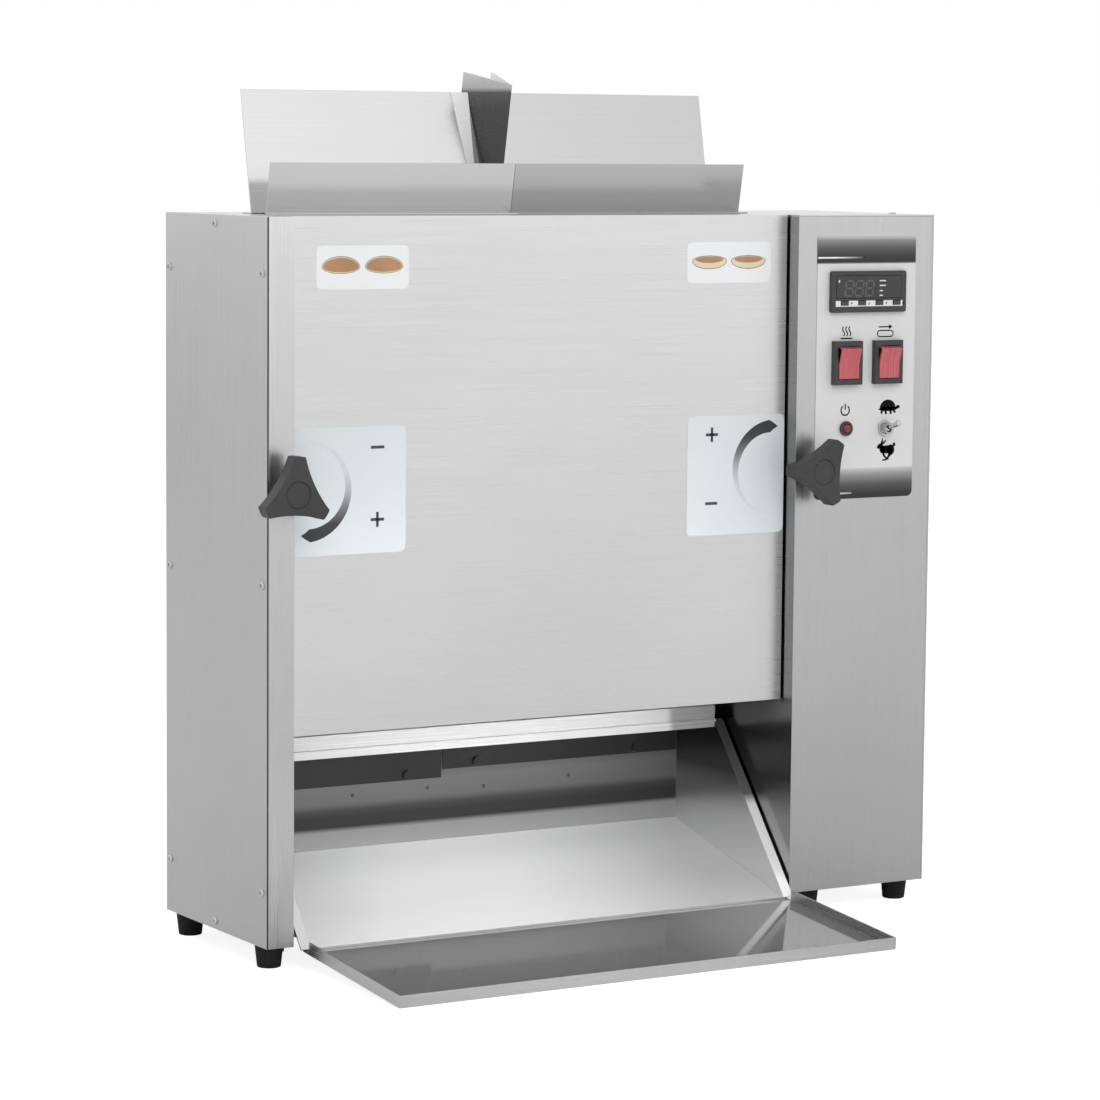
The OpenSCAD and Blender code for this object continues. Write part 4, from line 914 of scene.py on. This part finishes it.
# %% Controller strip and marks
controller_face = controller_low.y
strip_z = [on_controller(0, down)[1] for down in (29.9, 25.0)]
key_edges, side_gap, foot_gap = [], 0.4, 0.2
for i in range(4):
    low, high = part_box(f"key_{i + 1}")
    key_edges += [in_cabinet(low).x - side_gap, in_cabinet(high).x + side_gap]
strip_x = [on_controller(4.2, 0)[0]] + key_edges + [on_controller(72.8, 0)[0]]
rail_z = (strip_z[0], in_cabinet(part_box("key_1")[0]).z - foot_gap)
patches = []
for i, (x0, x1) in enumerate(zip(strip_x, strip_x[1:])):
    heights = rail_z if i % 2 else strip_z
    patches.append(film("key_strip", x0, x1, *heights, controller_face, 0.0001, 0.0001))
key_strip = join("key_strip", patches)
coat(key_strip, panel_white)
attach(key_strip, "cabinet")
for i in range(4):
    x, z = key_edges[2 * i + 1] + 3, (strip_z[0] + strip_z[1]) / 2
    path, widths = [(x, z - 0.9), (x, z + 0.9)], [1.8, 0.2] if i % 2 else [0.2, 1.8]
    tick = printed_strip(f"key_mark_{i + 1}", path, widths, controller_face - 0.0001)
    ink(tick, black_ink, "cabinet")

marks = [limb("lamp_mark", on_controller(7.6, 7.4), on_controller(7.6, 9.6), thick=1.4)]
for down, wide in ((8.4, 6.4), (12.4, 6.4), (16.8, 3.4), (20.8, 3.4)):
    ends = on_controller(49, down), on_controller(49 + wide, down)
    marks.append(limb("caption", *ends, thick=1.0))
captions = join("controller_captions", marks)
for point in captions.data.vertices:
    point.co.y = window_face
ink(captions, panel_white, "cabinet")
print("strip patches:", len(patches), "captions:", len(marks))

# %% [markdown]
# Keys and rockers are mouldings with soft edges. The rocker's face carries fine upright ribs. A
# row of thin boxes laid on the slanted face would be many parts, so the ribs are cut into the face
# itself: it is split with bisecting planes, and every second band is pushed in by a hair.

# %% Keys and rockers
for i in range(4):
    softened(f"key_{i + 1}", sheet_edge)

rib_pitch, rib_bands, rib_facing = 0.0014, 12, 0.94
for node in ("heat_rocker", "conveyor_rocker"):
    rocker = softened(node, knob_edge, 3)
    first_rib = (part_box(node)[0].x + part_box(node)[1].x) / 2 - rib_pitch * rib_bands / 2
    set_mode("EDIT")
    for i in range(rib_bands + 1):
        bpy.ops.mesh.select_all(action="SELECT")
        bpy.ops.mesh.bisect(plane_co=(first_rib + i * rib_pitch, 0, 0), plane_no=along_x)
    set_mode("OBJECT")
    pick_faces(rocker, lambda centre, normal: normal.y < -rib_facing
               and 0 <= (centre.x - first_rib) // rib_pitch < rib_bands
               and (centre.x - first_rib) // rib_pitch % 2 == 0)
    bpy.ops.mesh.inset(thickness=0.0002, depth=-0.00025, use_individual=True)
    leave_edit(rocker)
    print(node, len(rocker.data.polygons), "faces")
softened("lamp_lens", lens_edge, 4)

# %% [markdown]
# ## Landing bay and feed plates
# One folded piece can show several finishes. The slope of the chute is satin with a painted
# reflection, a bright sweep that crosses it at a slant, and painted shade towards its front. The
# brow's top gets painted light, the back wall and the upper cheeks painted shade, and the underside
# keeps its polish.
# Faces are picked by where they are and which way they look, and given one more material.

# %% Finishes by face
def refinish(node, finish, wanted):
    """Refinishes the faces whose centre, in cabinet millimetres, and normal pass the test."""
    piece = dressed[node]
    piece.data.materials.append(finish)
    last = len(piece.data.materials) - 1
    count = 0
    for face in piece.data.polygons:
        if wanted(in_cabinet(face.center), face.normal):
            face.material_index = last
            count += 1
    print(piece.name, finish.name, count, "faces")


sheet_grain, deep_grain, rim_grain = (7, 1100, 1100), (1100, 7, 1100), (9, 9, 1500)


def graded_steel(name, way, stops, rough, metal, grain=sheet_grain, fade=()):
    """Steel toned by place along a direction, and by depth too if it is given a fade."""
    material, tree, surface, place = shader(name)
    shade = placed_tones(tree, place, way, stops)
    if fade:
        shade = product(tree, shade, placed_tones(tree, place, along_y, fade))
    lines = noise(tree, place, grain, 4.0)
    streaks = ramp(tree, lines, grey(0.96), grey(1.0))
    fill(tree, surface, Base_Color=product(tree, shade, streaks), Metallic=metal,
         Roughness=span(tree, lines, *rough))
    return material


print("grains:", sheet_grain, deep_grain, rim_grain)

# %% Chute and tray
# Painted reflection on the slope: a bright sweep along a slanted direction. The fade over the depth
# is painted shade that dims the slope towards its front.
painted_sweep_way = (0.861, -0.509, 0)
slope_highlight_tones = ((22, 0.86), (88, 1.0), (130, 1.0), (188, 0.98), (257, 0.88), (326, 0.74),
               (360, 0.68))
slope_shade_fade = ((-9, 0.85), (53, 0.88), (112, 1.0), (163, 1.0))
slope_painted_sweep = graded_steel("slope_painted_sweep", painted_sweep_way, slope_highlight_tones, (0.3, 0.4), 0.12, fade=slope_shade_fade)
# Painted light: the brow's top and the divider's flange get a near-white, almost unmetallic tone so
# that they read bright.
brow_painted_light = brushed_steel("brow_painted_light", 0.95, level_grain, 0.02, (0.3, 0.4), 0.00001, 0.05)
# Painted shade: the chute's back wall gets dark tones that change over its height.
wall_shade_tones = ((42, 0.30), (56, 0.25), (60, 0.03), (68, 0.032), (74, 0.05), (80, 0.13), (95, 0.15),
              (131, 0.03))
wall_painted_shade = graded_steel("wall_painted_shade", along_z, wall_shade_tones, (0.3, 0.42), 0.5)
# Painted shade: the chute's cheeks are light low down and darken towards the top of the bay.
cheek_shade_tones = ((20, 0.88), (60, 0.60), (95, 0.09), (125, 0.03), (140, 0.02))
chute_cheek_shade = graded_steel("chute_cheek_shade", along_z, cheek_shade_tones, (0.27, 0.29), 0.7, (5, 5, 5))
brow_tones = ((36, 0.67), (436, 0.67), (442, 0.34), (490, 0.32))
brow_face = graded_steel("brow_face", along_x, brow_tones, (0.2, 0.3), 0.1, rim_grain)
hem_tones = ((10, 0.72), (70, 0.64), (78, 0.10), (137, 0.05))
hem_face = graded_steel("hem_face", along_z, hem_tones, (0.15, 0.25), 0.2)
chute_faces = (
    (slope_painted_sweep, lambda spot, normal: normal.z > facing and spot.z < 45),
    (brow_painted_light, lambda spot, normal: normal.z > facing and spot.z > 120),
    (wall_painted_shade, lambda spot, normal: normal.y < -facing and spot.y > 155),
    (brow_face, lambda spot, normal: normal.y < -facing and 98 < spot.y < 110),
    (hem_face, lambda spot, normal: normal.y < -0.3 and normal.z > 0.3 and spot.x > 480),
    (chute_cheek_shade, lambda spot, normal: abs(normal.x) > facing and 33 < spot.x < 487
     and spot.y > -20),
)
for finish, wanted in chute_faces:
    refinish("landing_chute", finish, wanted)
tray_mirror = brushed_steel("tray_mirror", 0.62, level_grain, 0.01, (0.04, 0.09), 0.000004, 0.72)
lip_steel = brushed_steel("lip_steel", 0.52, rim_grain, 0.04, (0.2, 0.3))
refinish("tray", tray_mirror, lambda spot, normal: normal.z > facing)
refinish("tray", lip_steel, lambda spot, normal: normal.z < facing)

# %% [markdown]
# These tones are painted light and shade. The column's inner cheek faces the dark bay and gets
# painted shade, the left flange gets painted light that grows brighter towards its top, and the
# divider's leaf gets painted shade below the edge of the rear plate and painted light above it. The
# rear plate gets painted light that is brighter at its left, and the right front plate painted
# shade towards its bottom. Such tones are graded over the height, and those of the rear plate over
# its width.

# %% Cheek, flange, divider and plates
seam_shade = brushed_steel("seam_shade", 0.07, upright_grain, 0.1, (0.3, 0.4))
refinish("left_side_cover", seam_shade, lambda spot, normal: normal.y < -facing and spot.y < 5)
# The tones in this table are painted light and shade.
# Node, finish, direction, roughness, metal, grain, tones along the direction, test of the faces
graded_faces = (
    ("left_frame", "left_flange_painted_light", along_z, (0.26, 0.38), 1.0, upright_grain,
     ((20, 0.58), (50, 0.51), (150, 0.50), (240, 0.545), (420, 0.675), (480, 0.73), (540, 0.79),
      (575, 0.86)), lambda spot, normal: normal.y < -facing and spot.y < 3),
    ("right_housing", "column_cheek_painted_shade", along_z, (0.16, 0.26), 1.0, deep_grain,
     ((0, 0.45), (60, 0.36), (85, 0.24), (110, 0.22), (150, 0.17), (162, 0.17), (172, 0.3)),
     lambda spot, normal: normal.x < -facing and spot.x < 497),
    ("lane_divider", "divider_leaf_painted_light_and_shade", along_z, (0.2, 0.3), 0.8, sheet_grain,
     ((575, 0.08), (660, 0.09), (674, 0.13), (678, 0.56), (694, 0.8)),
     lambda spot, normal: normal.x < -facing),
    ("rear_feed_plate", "rear_plate_painted_light", along_x, (0.14, 0.24), 1.0, sheet_grain,
     ((36, 0.82), (240, 0.76), (262, 0.68), (471, 0.62)),
     lambda spot, normal: normal.y < -facing),
    ("right_front_feed_plate", "right_plate_painted_shade", along_z, (0.14, 0.24), 1.0, sheet_grain,
     ((575, 0.40), (617, 0.50)), lambda spot, normal: normal.y < -facing),
)
for node, name, way, rough, metal, grain, tones, wanted in graded_faces:
    refinish(node, graded_steel(name, way, tones, rough, metal, grain), wanted)

# %% [markdown]
# A narrow bright flange of the divider lies flat on the rear plate, to the left of the leaf. It is
# wider at the top, and its brightness is painted light: it wears the brow's near-white tone. A
# plane primitive is pulled to its four corners on the leaning plate, and Solidify makes it a sheet.

# %% Divider flange
plate_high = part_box("rear_feed_plate")[1]
plate_thick, plate_slope = 0.0012, math.tan(math.radians(11))


def on_plate(x, z, stand=0.0004):
    """A point in front of the leaning rear plate, from cabinet millimetres."""
    spot = on_front(x, z, 0)
    spot.y = plate_high.y - plate_thick - stand - (plate_high.z - spot.z) * plate_slope
    return spot


bpy.ops.mesh.primitive_plane_add(size=2)
flange = added("divider_flange")
corners = {(-1, -1): (242.4, 580), (1, -1): (243.9, 580),
           (-1, 1): (227.8, 674), (1, 1): (243.9, 674)}
for point in flange.data.vertices:
    point.co = on_plate(*corners[round(point.co.x), round(point.co.y)])
edit_all(flange)
bpy.ops.mesh.subdivide(number_cuts=3)
set_mode("OBJECT")
ink(flange, brow_painted_light, "cabinet", thick=0.0006)
print("flange:", len(flange.data.polygons), "faces")

# %% [markdown]
# ## Screws
# The covers are held by small pan-head screws. One screw is modelled: a cylinder whose face is
# rounded over with a wide bevel, a shank extruded from its back, and a cross recess cut by two thin
# boxes. It is then copied to the place of every screw in the solids, turned so that its head looks
# out of the panel.

# %% Cross-head screw
def loose_boxes(solid):
    """The boxes of the separate lumps of a solid, as (low, high) pairs."""
    edit_all(copy_of("lumps", solid.data))
    bpy.ops.mesh.remove_doubles(threshold=weld_reach)
    bpy.ops.mesh.separate(type="LOOSE")
    set_mode("OBJECT")
    boxes = []
    for lump in list(bpy.context.selected_objects):
        points = [v.co for v in lump.data.vertices]
        boxes.append((Vector(map(min, zip(*points))), Vector(map(max, zip(*points)))))
        bpy.data.objects.remove(lump, do_unlink=True)
    return sorted(boxes, key=lambda box: tuple(round(v, 4) for v in box[0]))


head_radius, head_height, shank_radius, shank_length = 0.00325, 0.0016, 0.002, 0.007


def new_screw():
    """A pan-head screw at the origin that looks along +z."""
    slot_half, slot_depth = 0.00042, 0.0007
    reach, face_level = head_radius * 0.62, head_height * 0.9
    piece = new_rod("screw", (0, 0, 0), (0, 0, head_height), head_radius, 32)
    pick_faces(piece, lambda centre, normal: normal.z < -facing)
    bpy.ops.mesh.inset(thickness=head_radius - shank_radius)
    bpy.ops.mesh.extrude_region_move(TRANSFORM_OT_translate={"value": (0, 0, -shank_length)})
    leave_edit(piece)
    pick_edges(piece, lambda a, b: min(a.z, b.z) > face_level)
    bpy.ops.mesh.bevel(offset=head_height * 0.7, segments=5, affect="EDGES")
    leave_edit(piece)
    for x, y in ((reach, slot_half), (slot_half, reach)):
        cutter = new_box("recess", (-x, -y, head_height - slot_depth), (x, y, head_height * 2))
        modify(piece, "BOOLEAN", operation="DIFFERENCE", object=cutter)
        bpy.data.objects.remove(cutter, do_unlink=True)
    leave_edit(piece)
    return piece


def outward(low, high):
    """The direction that a screw's head looks in, and the middle of its outer face."""
    axis = max(range(3), key=lambda k: high[k] - low[k])
    centre = (low + high) / 2
    way = -1 if axis == 0 and centre.x < (cad_low.x + cad_high.x) / 2 else 1
    normal = Vector((0, 0, 0))
    normal[axis] = way
    centre[axis] = high[axis] if way > 0 else low[axis]
    return normal, centre


master, turn_step = new_screw(), math.radians(37)
screws = []
for i, (low, high) in enumerate(loose_boxes(solids["cover_screws"])):
    normal, tip = outward(low, high)
    screw = copy_of("screw", master.data)
    spin = Matrix.Rotation(turn_step * i, 4, "Z")
    turned = normal.to_track_quat("Z", "Y").to_matrix().to_4x4() @ spin
    screw.data.transform(Matrix.Translation(tip - normal * head_height) @ turned)
    screws.append(screw)
bpy.data.objects.remove(master, do_unlink=True)
cover_screws = join("cover_screws_dressed", screws)
leave_edit(cover_screws)
wear(cover_screws, slot_of["cover_screws"])
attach(cover_screws, "cabinet")
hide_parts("cover_screws")
print("screws:", len(screws), "faces:", len(cover_screws.data.polygons))

# %% [markdown]
# Four small rivets hold the chute's back wall. A sphere primitive is cut in half, flattened, and
# copied along the wall. Their dark tone is painted shade, like the wall's.

# %% Wall rivets
wall_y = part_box("chute_liner")[1].y
rivet_radius, flattened = 0.0017, Matrix.Diagonal((1, 0.6, 1, 1))
rivets = []
for x, z in ((161.4, 85.7), (233.3, 86.9), (288.1, 84.4), (372.9, 87)):
    bpy.ops.mesh.primitive_uv_sphere_add(segments=20, ring_count=12, radius=rivet_radius)
    rivet = added("rivet")
    edit_all(rivet)
    bpy.ops.mesh.bisect(plane_co=(0, hair, 0), plane_no=along_y, use_fill=True, clear_outer=True)
    set_mode("OBJECT")
    rivet.data.transform(Matrix.Translation(on_front(x, z, wall_y)) @ flattened)
    rivets.append(rivet)
wall_rivets = join("wall_rivets", rivets)
leave_edit(wall_rivets)
# Painted shade: the rivets are darkened like the wall they sit on.
rivet_painted_shade = brushed_steel("rivet_painted_shade", 0.12, even_grain, 0.1, (0.3, 0.4))
wear(wall_rivets, "polished_steel", rivet_painted_shade)
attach(wall_rivets, "landing_chute")
print("rivets:", len(rivets))

# %% [markdown]
# ## Speed toggle
# Between the tortoise and the hare sits a small toggle switch. A six-sided nut holds its threaded
# bush in the panel, and a lever with a thick end flips up and down in the bush. Nut, bush and lever
# are solids already and get a bright nickel. The thread is a sleeve over the bush: an open cylinder
# is split by planes square to its length, and every second ring is drawn in.

# %% Speed toggle
nickel = brushed_steel("toggle_nickel", 0.62, even_grain, 0.03, (0.10, 0.18))
coat(softened("speed_toggle", toggle_edge), nickel)
toggle_x, toggle_z = 585.2, 394
refinish("switch_housings", nickel,
         lambda spot, normal: spot.x > toggle_x - 9 and spot.z < toggle_z + 10 and spot.y < 1)

thread_front, thread_back = (
    on_front(toggle_x, toggle_z, overlay_face - stand) for stand in (0.0068, 0.0025))
crest_radius, root_share, half_turns = 0.0049, 0.935, 14
half_turn = (thread_back.y - thread_front.y) / half_turns
sleeve = new_rod("toggle_thread", thread_front, thread_back, crest_radius, 40)
pick_faces(sleeve, lambda centre, normal: abs(normal.y) > facing)
bpy.ops.mesh.delete(type="FACE")
for i in range(1, half_turns):
    bpy.ops.mesh.select_all(action="SELECT")
    bpy.ops.mesh.bisect(plane_co=thread_front + Vector((0, half_turn * i, 0)), plane_no=along_y)
leave_edit(sleeve, 80)
for point in sleeve.data.vertices:
    if round((point.co.y - thread_front.y) / half_turn) % 2:
        middle = Vector((thread_front.x, point.co.y, thread_front.z))
        point.co = middle.lerp(point.co, root_share)
modify(sleeve, "SOLIDIFY", thickness=0.0001)
wear(sleeve, "screw_steel", nickel)
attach(sleeve, "cabinet")
print("toggle thread:", len(sleeve.data.polygons), "faces")

# %% Finish
low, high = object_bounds()
print("growth in mm:", [round(1000 * (a - b), 2) for a, b in zip(high - low, cad_high - cad_low)])
